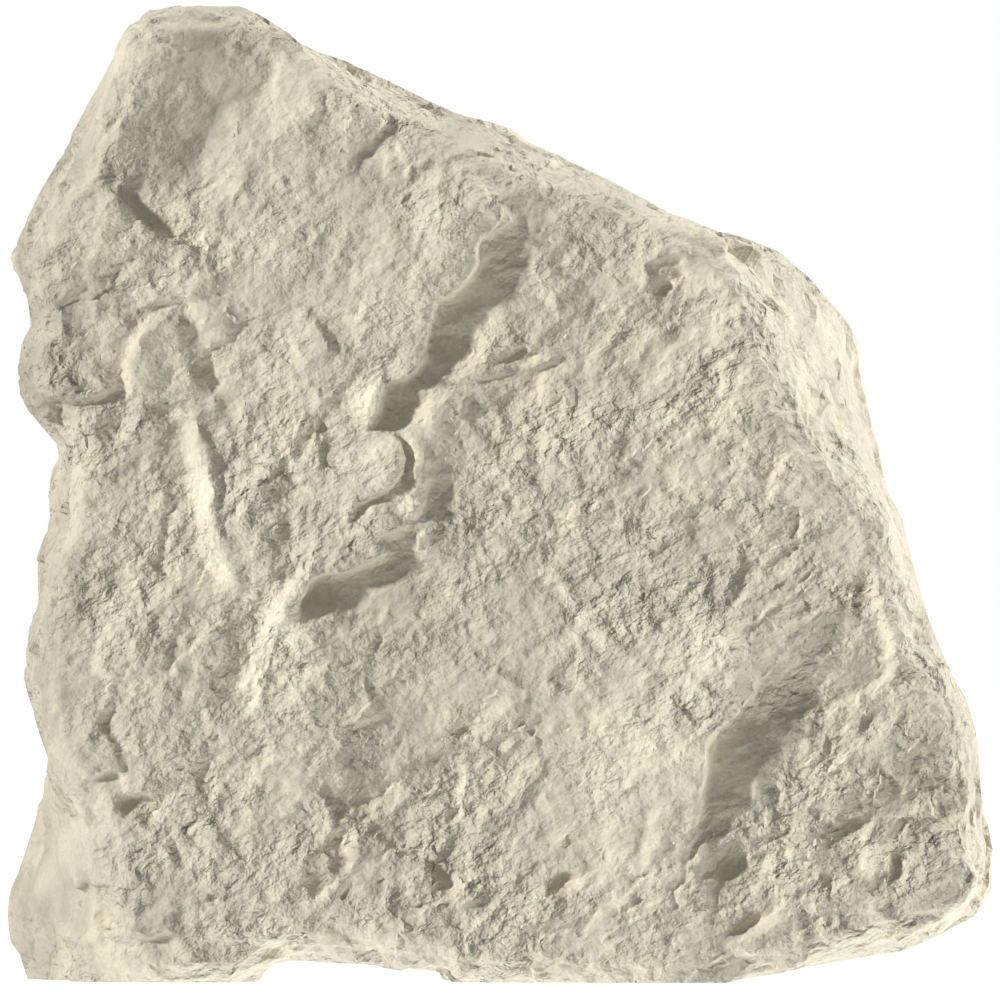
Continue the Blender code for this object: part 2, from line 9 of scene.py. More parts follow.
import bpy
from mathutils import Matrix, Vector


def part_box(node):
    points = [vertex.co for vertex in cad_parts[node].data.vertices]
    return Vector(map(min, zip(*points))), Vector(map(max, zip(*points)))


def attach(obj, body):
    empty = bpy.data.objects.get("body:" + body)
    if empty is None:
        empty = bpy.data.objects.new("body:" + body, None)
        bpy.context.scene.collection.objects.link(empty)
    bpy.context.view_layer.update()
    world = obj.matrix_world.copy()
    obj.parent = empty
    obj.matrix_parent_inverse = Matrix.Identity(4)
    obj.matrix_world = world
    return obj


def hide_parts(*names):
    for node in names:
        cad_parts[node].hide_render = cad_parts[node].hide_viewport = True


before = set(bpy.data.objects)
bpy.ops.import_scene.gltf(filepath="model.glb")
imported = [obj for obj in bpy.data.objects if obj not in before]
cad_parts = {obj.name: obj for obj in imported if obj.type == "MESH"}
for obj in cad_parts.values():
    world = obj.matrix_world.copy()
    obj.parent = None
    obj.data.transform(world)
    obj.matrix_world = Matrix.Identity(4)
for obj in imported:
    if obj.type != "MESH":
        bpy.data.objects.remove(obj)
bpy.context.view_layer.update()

import math

import bmesh
import bpy
import numpy as np
from mathutils import Vector

NODE = "chalk_rock"
NAME = "chalk_block"
MM = 0.001

# Driving dimensions, in millimetres
WIDTH = 246.0
FRONT_DEPTH = 58.0
BACK_DEPTH = 58.0
WAIST_Y = 8.0
EDGE_ROLL = 4.0
RIM_GAP = 2.0
SOFT_EDGE = 0.8
SWELL = 1.0

# The back rim as a share of the waist, and its waves round the block: height, number, turn
BACK_SHARE = 0.87
BACK_WAVES = [(0.05, 2.0, 1.2), (0.03, 5.0, 0.0)]

# Beds and lumps of the sides, in millimetres. A bed's edge starts and ends at a share of its thickness,
# and the beds are stronger in some patches.
BED_THICKNESS = 5.5
BED_RELIEF = 1.3
BED_EDGE_START = 0.4
BED_EDGE_WIDTH = 0.2
BED_WARP = 5.0
BED_WARP_SIZE = 45.0
BED_STRENGTH = 0.65
BED_STRENGTH_SPREAD = 0.5
BED_PATCH_SIZE = 30.0
BED_ROWS = 512
SIDE_LUMP = 2.0
SIDE_LUMP_SIZE = 38.0

# Broken facets: widths in millimetres, slope, strength everywhere and what the sides add to it
FACET_SIZES = (26.0, 13.0)
FACET_TILT = 0.11
FACET_STRENGTH = 0.35
FACET_SIDE_STRENGTH = 0.65

# How fast the sides set in, and the shares of the depths over which both faces' reliefs fade in
SIDE_GAIN = 1.4
FRONT_FADE = 0.55
BACK_FADE = 0.7

# Mesh fineness
DIRECTIONS = 1440
COARSE_VOXEL = 1.1
FINE_VOXEL = 0.76
FRONT_LIMIT_Y = -40.0
FRONT_FACES = 146000
SIDE_AND_BACK_FACES = 50000
SNAP_TO_BASE = 0.15
MERGE_DISTANCE = 0.02
SHARP_EDGE = 24.0

# The picture's own frame, in pixels
OUTLINE_SPAN = 985.0
MIDDLE_COLUMN = 500.0
BASE_ROW = 981.0
HEART = (500.0, 560.0)

# Outline of the block, clockwise from the knob at the top left, carried on below the base row
OUTLINE = [
    (130, 30), (150, 12), (190, 8), (240, 9), (262, 18), (285, 33), (310, 51), (345, 61), (402, 89),
    (460, 117), (510, 130), (547, 152), (579, 169), (612, 186), (670, 217), (714, 230), (777, 252),
    (812, 282), (829, 304), (844, 319), (855, 338), (862, 380), (870, 420), (880, 460), (885, 490),
    (900, 520), (910, 560), (920, 600), (935, 640), (950, 675), (965, 700), (975, 730), (978, 780),
    (985, 810), (992, 850), (992, 890), (975, 915), (940, 935), (900, 950), (850, 958), (800, 966),
    (745, 974), (702, 983), (690, 1037), (455, 1037), (447, 985), (440, 970), (399, 966), (373, 961),
    (340, 960), (293, 958), (272, 962), (264, 972), (257, 983), (225, 1037), (34, 1037), (26, 980),
    (20, 955), (11, 942), (7, 911), (11, 890), (22, 864), (35, 820), (43, 783), (52, 757), (40, 725),
    (31, 700), (25, 680), (24, 650), (35, 615), (40, 600), (38, 560), (50, 520), (46, 490), (55, 450),
    (50, 435), (30, 412), (19, 395), (18, 368), (22, 345), (33, 328), (30, 305), (18, 280), (10, 258),
    (20, 228), (48, 178), (75, 130), (95, 93), (112, 60), (122, 45),
]

# Rim of the broad face, inside the outline, clockwise from the same corner
FRONT_RIM = [
    (150, 28), (190, 20), (240, 22), (262, 28), (282, 42), (300, 58), (330, 72), (358, 87), (380, 100),
    (417, 115), (451, 130), (482, 141), (503, 152), (525, 160), (570, 174), (612, 194), (668, 222),
    (712, 243), (727, 258), (742, 275), (764, 315), (768, 336), (775, 360), (790, 400), (805, 440),
    (830, 465), (858, 492), (874, 520), (884, 555), (904, 620), (918, 655), (934, 690), (950, 720),
    (961, 750), (965, 790), (974, 850), (974, 880), (960, 900), (925, 920), (880, 936), (840, 945),
    (795, 952), (745, 960), (705, 968), (660, 975), (500, 975), (456, 972), (440, 958), (399, 954),
    (373, 949), (340, 947), (293, 946), (268, 950), (254, 962), (240, 974), (190, 976), (140, 968),
    (126, 940), (122, 900), (112, 850), (100, 820), (88, 795), (62, 772), (52, 745), (45, 700),
    (42, 650), (48, 600), (55, 560), (68, 520), (74, 470), (72, 430), (60, 408), (42, 395), (36, 370),
    (38, 345), (48, 330), (45, 310), (30, 268), (30, 250), (38, 228), (60, 200), (85, 172), (100, 140),
    (115, 105), (128, 70), (140, 42),
]

# Spot heights of the broad face without its steps: column, row, millimetres towards the viewer
FRONT_SPOTS = [
    (190, 20, 0.6), (250, 30, -0.6), (355, 100, 0.8), (100, 130, 1.2), (260, 125, 0.0),
    (305, 130, 0.8), (340, 125, 0.4), (395, 130, -1.6), (440, 135, -1.2), (360, 180, 0.2),
    (455, 175, 1.0), (500, 180, 0.8), (548, 185, -1.6), (590, 190, -1.4), (30, 240, -0.6),
    (110, 225, 0.8), (215, 225, -0.8), (260, 230, 0.2), (350, 230, 0.1), (550, 235, -1.8),
    (600, 235, -3.4), (695, 245, -2.6), (25, 280, 0.0), (150, 275, -0.4), (400, 275, 0.2),
    (600, 285, -4.6), (700, 285, -4.6), (740, 285, -0.8), (775, 285, -0.8), (100, 330, -0.2),
    (230, 325, -0.8), (300, 325, -1.0), (410, 325, -1.0), (650, 330, -3.8), (745, 335, -0.2),
    (790, 340, 1.4), (50, 375, -0.4), (95, 375, -1.6), (160, 370, -1.2), (230, 370, -2.4),
    (290, 375, -1.0), (340, 375, -0.4), (550, 380, -3.8), (650, 380, -3.0), (700, 385, -1.6),
    (800, 385, 0.8), (125, 425, -2.8), (235, 430, -3.2), (290, 430, -1.4), (345, 430, -1.2),
    (500, 430, -2.6), (600, 430, -1.4), (700, 430, 0.8), (340, 480, -0.6), (388, 472, 1.8),
    (460, 480, -1.4), (510, 480, -1.0), (755, 480, 1.8), (850, 490, 3.0), (110, 530, -1.8),
    (245, 530, 1.6), (450, 530, -1.6), (550, 530, -1.6), (700, 530, -0.8), (800, 530, -1.2),
    (840, 530, -0.2), (875, 540, 1.2), (50, 580, -1.2), (100, 580, -1.8), (150, 580, -1.6),
    (240, 580, 1.0), (450, 590, -1.8), (650, 590, 0.0), (750, 590, -0.8), (850, 590, -1.0),
    (50, 640, -1.2), (90, 640, 0.2), (140, 640, 1.4), (190, 640, 1.8), (235, 640, 1.2),
    (370, 650, 0.6), (470, 650, -0.8), (520, 650, -0.6), (670, 650, 1.6), (730, 650, 4.4),
    (800, 640, 1.6), (150, 700, 0.8), (240, 700, 0.6), (310, 700, 2.4), (410, 700, -0.8),
    (560, 700, -1.0), (790, 690, -0.4), (840, 690, -1.6), (80, 755, 0.2), (200, 755, -0.2),
    (250, 755, -0.4), (310, 755, 0.8), (360, 755, -1.0), (410, 755, -2.8), (510, 755, -3.6),
    (560, 755, -2.8), (660, 755, 2.0), (700, 755, 3.4), (880, 760, -2.0), (270, 810, -0.8),
    (620, 810, -0.6), (672, 810, 2.2), (745, 820, -1.6), (800, 820, -1.4), (930, 820, -3.2),
    (130, 870, -0.4), (250, 870, -0.8), (300, 870, 0.8), (360, 870, -1.6), (540, 870, -1.4),
    (600, 870, -0.8), (655, 870, 1.4), (760, 880, -1.6), (830, 880, -1.6), (130, 955, -0.8),
    (200, 930, -0.6), (300, 930, -0.4), (400, 930, -0.2), (500, 935, 0.8), (780, 930, 0.6),
    (930, 900, 0.2),
]

# Steps of the broad face. The high side lies to the left of a walk along the points. Each has its
# height, how far it lifts the high side and sinks the low side, and the width of its broken edge.
FRONT_STEPS = [
    ("middle scarp", 5.2, 16.0, 22.0, 1.4, [
        (300, 632), (299, 602), (308, 588), (320, 577), (345, 575), (368, 566), (391, 553), (384, 540),
        (400, 530), (414, 520)]),
    ("upper middle scarp", 1.5, 5.0, 12.0, 1.2, [
        (408, 524), (424, 500), (428, 482), (428, 462), (420, 446), (410, 428)]),
    ("upper plate edge", 5.6, 30.0, 24.0, 1.4, [
        (420, 372), (428, 350), (432, 330), (438, 302), (455, 296), (476, 270), (481, 244), (500, 228),
        (520, 214)]),
    ("upper plate corner", 4.4, 8.0, 16.0, 1.2, [
        (366, 436), (380, 412), (381, 398), (390, 386), (405, 381), (418, 370), (428, 352)]),
    ("lower right scarp", 3.6, 30.0, 14.0, 1.4, [
        (690, 846), (699, 818), (703, 790), (706, 765), (710, 742), (720, 726), (737, 715), (745, 698),
        (757, 682), (775, 662)]),
    ("long slope", 5.2, 4.0, 14.0, 7.5, [
        (322, 535), (306, 568), (288, 598), (276, 620), (262, 650), (254, 690), (256, 728)]),
    ("middle plate edge", 3.4, 18.0, 6.0, 1.2, [
        (345, 528), (353, 518), (358, 504), (375, 494), (390, 486), (399, 476), (402, 458), (398, 440),
        (388, 428)]),
    ("tall slope", 4.4, 8.0, 10.0, 7.0, [
        (192, 396), (190, 430), (196, 460), (202, 490), (204, 520), (212, 550), (226, 580), (234, 605)]),
    ("drop right of the tall slope", 1.1, 3.0, 9.0, 1.6, [
        (232, 552), (222, 530), (216, 505), (219, 485), (214, 455), (204, 430), (203, 408)]),
    ("crescent", 2.2, 12.0, 6.0, 2.2, [
        (174, 304), (150, 322), (135, 345), (127, 370), (128, 395), (138, 408)]),
    ("slope behind the crescent", 2.8, 6.0, 8.0, 9.0, [
        (206, 404), (196, 370), (188, 340), (182, 314)]),
    ("recess below the knob", 3.6, 16.0, 12.0, 1.2, [
        (208, 254), (196, 249), (178, 243), (160, 236), (147, 222), (134, 212), (124, 198), (116, 184)]),
    ("left ledge", 1.6, 8.0, 6.0, 1.0, [
        (136, 315), (170, 303), (185, 300), (205, 295), (225, 290), (250, 286)]),
    ("left plate edge", 2.4, 10.0, 9.0, 1.0, [
        (78, 783), (95, 776), (108, 772), (121, 770), (119, 758), (118, 745), (110, 735), (104, 726),
        (105, 712), (111, 703), (106, 690)]),
    ("ridge of the right block", 1.7, 6.0, 15.0, 1.6, [
        (875, 562), (876, 600), (881, 628), (892, 655), (886, 675), (870, 691), (850, 700), (830, 710),
        (800, 716), (766, 725)]),
    ("corner above the right block", 1.0, 5.0, 6.0, 1.2, [(946, 653), (925, 658), (905, 657), (892, 661)]),
    ("bevel at the foot", 1.8, 10.0, 12.0, 1.2, [
        (446, 884), (430, 868), (418, 854), (400, 846), (380, 835), (360, 831), (344, 826)]),
    ("foot ledge", 3.0, 6.0, 9.0, 1.2, [
        (56, 948), (82, 943), (104, 938), (122, 934), (150, 934), (192, 934)]),
    ("second foot ledge", 1.5, 5.0, 6.0, 1.2, [(206, 938), (240, 939), (275, 941), (310, 948)]),
    ("slanting nick", 1.0, 4.0, 6.0, 1.0, [(498, 464), (494, 448), (480, 434), (469, 419), (465, 396)]),
    ("shoulder of the upper plate", 1.6, 9.0, 9.0, 1.4, [
        (306, 132), (318, 120), (322, 104), (322, 90)]),
    ("top facet", 1.8, 6.0, 14.0, 2.0, [(350, 178), (352, 160), (366, 140), (384, 128), (388, 112)]),
    ("upper right pocket", 2.2, 5.0, 12.0, 1.2, [(663, 302), (652, 282), (645, 265), (660, 259), (692, 256)]),
    ("top pocket", 1.9, 5.0, 8.0, 1.0, [(548, 197), (536, 182), (529, 166), (545, 162), (574, 168)]),
    ("lobe ledge", 1.8, 6.0, 6.0, 1.2, [(34, 400), (60, 403), (80, 404), (100, 398), (120, 383)]),
    ("crumbled crest", 1.6, 8.0, 8.0, 1.4, [(328, 844), (336, 825), (334, 802), (318, 788)]),
]

# Creases of the broad face: height (negative for a valley), reach to its left and right, points
FRONT_CREASES = [
    ("knob valley", -4.6, 34.0, 11.0, [
        (203, 215), (202, 180), (204, 158), (212, 132), (226, 112), (250, 98), (268, 84), (280, 66),
        (294, 36)]),
    ("fin beside the middle scarp", 0.9, 3.0, 2.5, [(412, 524), (416, 500), (416, 478), (412, 456)]),
    ("small plate crest", 1.4, 6.5, 1.2, [(376, 432), (382, 412), (383, 395), (386, 372)]),
    ("small plate groove", -1.0, 1.6, 1.6, [(332, 396), (350, 415), (364, 430), (382, 434)]),
    ("flake crest", 1.7, 6.0, 1.6, [(331, 362), (330, 345), (320, 328), (300, 308)]),
    ("crack below the lower right scarp", -1.2, 1.8, 1.8, [(668, 896), (678, 878), (686, 860), (697, 830)]),
    ("right block arc", -1.4, 2.6, 2.6, [(896, 846), (898, 868), (886, 884), (868, 897)]),
]

# Hollows of the broad face: column, row, half length and half width in pixels, turn in degrees, depth
FRONT_HOLLOWS = [
    (522, 358, 28, 12, 8, 1.8), (789, 369, 12, 15, 0, 2.2), (782, 407, 21, 11, 0, 1.2),
    (794, 520, 7, 18, 0, 1.7), (864, 581, 11, 17, 0, 1.4), (903, 608, 11, 14, 0, 1.5),
    (919, 637, 15, 19, 0, 1.8), (870, 725, 12, 21, 0, 1.7), (828, 748, 9, 13, 0, 1.2),
    (777, 795, 9, 15, 0, 1.0), (732, 862, 24, 20, 40, 1.6), (950, 800, 23, 29, 0, 2.2),
    (855, 827, 27, 10, 25, 1.5), (880, 931, 22, 13, 0, 1.4), (751, 924, 35, 10, 18, 1.5),
    (565, 882, 20, 10, 10, 2.0), (143, 805, 27, 15, -20, 2.9), (208, 780, 10, 29, 0, 1.4),
    (165, 411, 21, 9, 0, 1.4), (117, 432, 14, 17, 0, 1.4), (372, 790, 34, 30, 20, 1.2),
    (215, 897, 9, 8, 0, 1.5), (870, 860, 22, 19, 0, -1.2),
]

# Spot heights and steps of the back face, placed by the same columns and rows
BACK_SPOTS = [
    (150, 60, -3.0), (300, 150, 1.0), (120, 300, -2.0), (320, 360, 3.0), (520, 240, -1.0),
    (700, 330, -4.0), (600, 480, 2.5), (820, 520, -3.0), (420, 620, 4.0), (150, 620, 0.5),
    (700, 700, 1.0), (900, 780, -4.0), (260, 850, -1.0), (560, 860, -2.0), (100, 900, -4.0),
]
BACK_STEPS = [
    ("back upper step", 5.0, 28.0, 22.0, 1.6, [
        (180, 330), (260, 300), (340, 320), (430, 290), (520, 330), (600, 320)]),
    ("back right scarp", 5.5, 24.0, 26.0, 1.6, [
        (640, 860), (670, 780), (640, 700), (700, 620), (720, 540), (780, 470)]),
    ("back low ledge", 3.5, 18.0, 16.0, 1.6, [(140, 760), (230, 730), (320, 770), (420, 750), (520, 790)]),
    ("back corner break", 3.0, 14.0, 14.0, 1.6, [(330, 560), (290, 500), (220, 480), (160, 430)]),
]

# Finer steps of the broad face, written like the others
FINE_STEPS = [
    ("long crack", 1.9, 3.0, 5.0, 1.2, [(432, 382), (464, 384), (500, 372), (540, 369), (574, 357)]),
    ("branch above the scarp", 1.3, 3.0, 6.0, 1.6, [(292, 500), (301, 535), (296, 572), (286, 600)]),
    ("small plate foot", 1.0, 4.0, 4.0, 1.0, [(345, 418), (360, 428), (380, 427)]),
    ("slant at the lower left", 1.2, 5.0, 5.0, 1.2, [(248, 866), (235, 850), (222, 838), (212, 825)]),
    ("foot curve", 1.0, 5.0, 5.0, 1.2, [
        (622, 904), (605, 908), (593, 917), (586, 930), (576, 944), (571, 960)]),
    ("foliation step A", 0.9, 4.0, 5.0, 1.2, [(335, 727), (365, 720), (385, 716)]),
    ("foliation step B", 0.9, 4.0, 5.0, 1.2, [(418, 742), (450, 730), (475, 719)]),
    ("foliation step C", 0.9, 4.0, 5.0, 1.2, [(400, 772), (430, 758), (462, 745)]),
    ("foliation step D", 0.8, 4.0, 5.0, 1.2, [(495, 758), (525, 747), (545, 735)]),
    ("foliation step E", 0.8, 4.0, 5.0, 1.2, [(525, 795), (545, 770), (560, 762), (570, 748)]),
    ("foliation step F", 0.8, 4.0, 5.0, 1.2, [(440, 817), (460, 811), (475, 800)]),
    ("rib A", 1.4, 5.0, 3.0, 1.5, [(742, 490), (728, 500), (714, 511), (704, 520), (690, 529)]),
    ("rib B", 1.4, 5.0, 3.0, 1.5, [(752, 574), (748, 590), (735, 606), (722, 622)]),
    ("rib C", 2.2, 5.0, 5.0, 1.6, [
        (545, 556), (544, 572), (562, 586), (570, 603), (588, 625), (600, 638), (616, 656)]),
    ("rib D", 1.2, 4.0, 3.0, 1.4, [(619, 414), (606, 448)]),
    ("rib E", 0.9, 3.0, 3.0, 1.2, [(637, 480), (625, 495), (600, 499)]),
    ("rib F", 1.4, 5.0, 3.0, 1.5, [(320, 430), (308, 450), (300, 463)]),
    ("rib G", 1.0, 4.0, 3.0, 1.2, [(262, 463), (245, 492)]),
    ("rib H", 1.0, 4.0, 3.0, 1.2, [(250, 500), (225, 526)]),
    ("rib I", 0.7, 3.0, 3.0, 1.0, [(180, 575), (160, 590)]),
    ("upper part of the lower right scarp", 3.2, 24.0, 14.0, 1.4, [
        (704, 805), (706, 765), (710, 742), (720, 726), (737, 715), (745, 698)]),
    ("pale bevel above the foot", 2.2, 5.0, 7.0, 6.0, [(452, 868), (460, 900), (466, 935)]),
    ("swell beside the lower right scarp", 2.2, 5.0, 7.0, 7.0, [
        (655, 800), (652, 840), (652, 880), (658, 915)]),
    ("pocket roof", 1.0, 4.0, 4.0, 1.0, [(122, 862), (140, 852), (160, 843), (168, 838)]),
    ("pocket wall", 1.2, 4.0, 5.0, 1.0, [(177, 872), (178, 860), (172, 846), (165, 838)]),
    ("pocket slant", 1.0, 4.0, 4.0, 1.0, [(157, 899), (150, 886), (140, 875), (134, 862)]),
]
FINE_CREASES = [
    ("gap beside the long slope", -1.5, 1.5, 1.5, [(262, 655), (256, 680), (254, 705)]),
    ("groove", -0.8, 1.5, 1.5, [(798, 540), (790, 552), (784, 570)]),
    ("crack A", -0.7, 0.8, 0.8, [(620, 508), (645, 532)]),
    ("crack B", -0.7, 0.8, 0.8, [(660, 520), (685, 540)]),
]
FINE_HOLLOWS = [
    (557, 363, 16, 5, 22, 1.0), (510, 172, 8, 6, 0, 1.0), (512, 500, 6, 7, 0, 0.8),
    (612, 506, 9, 6, 0, 0.8), (765, 492, 10, 8, 0, 0.9), (85, 465, 16, 9, 0, 1.0),
    (140, 465, 10, 10, 0, 1.0), (830, 885, 6, 15, 0, 1.0), (778, 878, 9, 7, 0, 0.9),
    (915, 832, 10, 8, 0, 0.9), (318, 885, 12, 20, 0, 1.0), (383, 885, 9, 11, 0, 1.2),
    (183, 918, 8, 12, 0, 1.0), (835, 800, 30, 12, 0, -0.8), (864, 494, 4, 4, 0, 0.8),
    (585, 893, 7, 5, 0, 0.8), (645, 900, 8, 5, 0, 0.8), (535, 957, 16, 8, 0, 0.9),
    (412, 415, 28, 24, 0, 1.8),
]

# Fine break of the surface: width in millimetres, depth (for chips the slope), stretch along the grain
SCOOPS = [(15.0, 1.25, 1.7), (7.0, 0.80, 1.5), (3.8, 0.40, 1.3)]
CHIPS = [(9.0, 0.04, 1.5), (4.0, 0.06, 1.3)]
CRUMB = (2.4, 0.10, 1.3)
SCOOP_LEVELS = 0.6
WARP = 1.6
WARP_SIZE = 3.5
PATCHINESS = 0.5
PATCH_WIDTH = 17.0

# The grain's rise to the right, in degrees, and the thin plates that lie along it, in millimetres
GRAIN_RISE = 24.0
SHINGLE_SPACING = 13.0
SHINGLE_THICKNESS = 0.35
SHINGLE_BEND = 1.3
BROAD_BEND_SIZE = 26.0
SMALL_BEND_SIZE = 9.0
SMALL_BEND_SHARE = 0.4
SHINGLE_EDGE_START = 0.46
SHINGLE_EDGE_WIDTH = 0.08
SHINGLE_COVER = 0.4
SHINGLE_COVER_SPREAD = 1.6
SHINGLE_PATCH_SIZE = 34.0

# How far the broken edges wander from their lines, and how wide each swing is, in millimetres
EDGE_WANDER = 0.55
EDGE_WANDER_SIZE = 3.6

# Finest relief, in the finish: chips or cells a millimetre, stretch along the grain, depth
CHIP_BUMPS = [(0.18, 1.5, 1.15), (0.42, 1.3, 0.6)]
GRAIN_BUMP = (0.15, 1.3, 4.8)
BLOTCH_SCALE = 0.06
BLOTCH_STRENGTHS = (0.35, 1.0)

# The skin's cool and warm chalk, where they lie in the tint's noise, and its fine speckle
COOL_CHALK = (0.71, 0.655, 0.54, 1.0)
WARM_CHALK = (0.83, 0.765, 0.60, 1.0)
TINT_PLACES = (0.34, 0.68)
TINT_SCALE = 0.07
SPECKLE_SCALE = 1.2
SPECKLE = 0.05

# The skin's brightness at its palest and darkest patches, painted highlights and painted shade among them,
# and how mottled those patches are
PALEST_VALUE = 1.42
DARKEST_VALUE = 0.58
MOTTLE = 0.5
MOTTLE_SIZE = 6.0

# Where the broad face is smoother or rougher: column, row, reach in pixels, change
ROUGHNESS_PATCHES = [
    (200, 110, 80, -0.6), (485, 290, 40, -0.5), (370, 600, 40, -0.4), (60, 880, 60, -0.8),
    (240, 540, 60, 0.2), (170, 860, 60, 0.3), (90, 400, 70, 0.3), (200, 500, 12, -0.5),
    (735, 780, 40, -0.7), (850, 800, 110, 0.35), (560, 520, 130, 0.25), (350, 270, 110, -0.3),
    (600, 300, 90, -0.2), (160, 680, 90, -0.1), (400, 920, 80, 0.2),
]
ROUGHNESS_LIMITS = (0.15, 2.0)
BUMP_LIMIT = 1.6

# Patches of the skin: name, column, row, reach in pixels, how much darker (or paler, below 0). A few are grey
# tone of the chalk itself. Most are painted shade and painted shadow in recesses and on slopes turned away
# from the key light, and painted highlight on slopes and crests turned towards it.
SKIN_PATCHES = [
    ("painted shade on the knob", 205, 95, 85, 0.4), ("painted shade on the top of the knob", 230, 22, 50, 0.4),
    ("painted shade on the left shoulder", 75, 150, 50, 0.3), ("grey skin and painted shade of the left lobes", 32, 365, 45, 0.3),
    ("painted shade under the top edge", 465, 122, 40, 0.4), ("painted shadow below the middle scarp", 400, 585, 45, 0.3),
    ("grey foot at the left", 95, 925, 60, 0.3), ("painted shade on the edge of the right block", 955, 775, 70, 0.4),
    ("painted shade in the corner above the right block", 930, 632, 25, 0.4), ("painted highlight and fresh break on the long slope", 275, 620, 34, -0.55),
    ("painted highlight and fresh break at the end of the long slope", 248, 685, 18, -0.45), ("painted highlight and fresh break on the tall slope", 206, 485, 34, -0.5),
    ("painted highlight and fresh break at the foot of the tall slope", 230, 560, 22, -0.35),
    ("pale crest beside the crack", 675, 862, 24, -0.4),
    ("painted highlight and fresh break on the small plate", 360, 397, 16, -0.4), ("painted highlight and fresh break on the step beside the scarp", 408, 498, 12, -0.4),
    ("pale crest above the right scarp", 722, 650, 32, -0.4), ("pale right ridge", 885, 630, 28, -0.35),
]

# Painted shade along the left edge, which faces the key light: column where it ends, its width in pixels, how
# much darker
LEFT_EDGE_PAINTED_SHADE = (125, 95, 0.58)

# Suns: name, direction towards it, strength, spread in degrees, colour
SUNS = [
    ("key", (-0.861, -0.407, 0.305), 3.2, 4.0, (1.0, 0.99, 0.97)),
    ("rim", (0.88, 0.08, 0.46), 3.3, 12.0, (1.0, 1.0, 1.0)),
    ("bounce", (0.30, 0.05, -0.95), 3.3, 60.0, (1.0, 1.0, 1.0)),
]

# Surrounding light, floor and camera. The floor is in metres and the camera in millimetres.
SURROUND_STRENGTH = 0.22
FLOOR_HALF = 12.0
FLOOR_GLOW = 0.85
SENSOR = 36.0
PICTURE_SIZE = 1000
CAMERA_DISTANCE = 8000.0
MATCHED_DEPTH = -25.0

# Steps and creases fade out over this share of their length at both ends. A step sinks its low side by
# LOW_SHARE of its height and lifts its high side by the rest.
STEP_END_FADE = 0.16
LOW_SHARE = 0.5
HOLLOW_FULLNESS = 1.6
TIE_BREAK = 1e-4
FAR_AWAY = 1e9
PIXEL = WIDTH / OUTLINE_SPAN

# Noise: rows of a table, the numbers that scatter cells over it, and the seeds
TABLE_ROWS = 4096
CELL_PRIMES = (73856093, 19349663, 83492791)
BED_SEED = 11
LUMP_SEED = 21
FACET_SEED = 31
WANDER_SEED = 43
CRUMB_SEED = 51
WARP_SEED = 56
SCOOP_SEED = 61
CHIP_SEED = 66
SHINGLE_SEED = 71
PATCH_SEED = 81
MOTTLE_SEED = 91


def column_to_x(column):
    return (np.asarray(column, float) - MIDDLE_COLUMN) * PIXEL


def row_to_z(row):
    return (BASE_ROW - np.asarray(row, float)) * PIXEL


def to_plane(points):
    """Picture points as an array of (x, z) in millimetres."""
    grid = np.array(points, float)
    return np.column_stack([column_to_x(grid[:, 0]), row_to_z(grid[:, 1])])


def ease(t):
    """A smooth ramp from 0 to 1."""
    t = np.clip(t, 0.0, 1.0)
    return t * t * (3.0 - 2.0 * t)


def ray_lengths(polygon, heart, angles):
    """How far a closed polygon lies from the heart in each direction."""
    corners = polygon - heart
    lengths = np.zeros(len(angles))
    directions = np.column_stack([np.cos(angles), np.sin(angles)])
    for start, end in zip(corners, np.roll(corners, -1, axis=0)):
        edge = end - start
        spread = directions[:, 0] * edge[1] - directions[:, 1] * edge[0]
        spread = np.where(np.abs(spread) < 1e-9, 1e-9, spread)
        reach = (start[0] * edge[1] - start[1] * edge[0]) / spread
        place = (start[0] * directions[:, 1] - start[1] * directions[:, 0]) / spread
        hit = (reach > 0.0) & (place >= -1e-6) & (place <= 1.0 + 1e-6)
        lengths = np.where(hit, np.maximum(lengths, reach), lengths)
    return lengths


def make_blank():
    """The closed form before it breaks: front rim, waist and back rim joined ring by ring."""
    heart = to_plane([HEART])[0]
    angles = np.linspace(0.0, 2.0 * math.pi, DIRECTIONS, endpoint=False)
    waist = ray_lengths(to_plane(OUTLINE), heart, angles) + SWELL
    front = np.minimum(ray_lengths(to_plane(FRONT_RIM), heart, angles), waist - RIM_GAP)
    back_share = BACK_SHARE
    for height, number, turn in BACK_WAVES:
        back_share = back_share + height * np.sin(number * angles + turn)
    back = waist * back_share
    band = waist - front
    rings = [
        (front * 0.35, -FRONT_DEPTH), (front * 0.7, -FRONT_DEPTH),
        (front - EDGE_ROLL, -FRONT_DEPTH), (front + band * 0.1, -FRONT_DEPTH + EDGE_ROLL),
        (front + band * 0.55, WAIST_Y - 0.5 * FRONT_DEPTH), (waist, WAIST_Y),
        (waist * 0.6 + back * 0.4, 0.6 * BACK_DEPTH), (back, BACK_DEPTH - EDGE_ROLL),
        (back - EDGE_ROLL, BACK_DEPTH), (back * 0.6, BACK_DEPTH),
    ]
    vertices = [(heart[0], -FRONT_DEPTH, heart[1])]
    for radius, depth in rings:
        xs = heart[0] + radius * np.cos(angles)
        zs = heart[1] + radius * np.sin(angles)
        vertices += [(x, depth, z) for x, z in zip(xs, zs)]
    vertices.append((heart[0], BACK_DEPTH, heart[1]))

    faces = []
    last = len(vertices) - 1
    final_ring = 1 + (len(rings) - 1) * DIRECTIONS
    for i in range(DIRECTIONS):
        j = (i + 1) % DIRECTIONS
        faces.append((0, 1 + i, 1 + j))
        for ring in range(len(rings) - 1):
            near = 1 + ring * DIRECTIONS
            far = near + DIRECTIONS
            faces.append((near + i, far + i, far + j, near + j))
        faces.append((final_ring + i, last, final_ring + j))

    mesh = bpy.data.meshes.new(NAME)
    mesh.from_pydata([(x * MM, y * MM, z * MM) for x, y, z in vertices], [], faces)
    mesh.update()
    return mesh


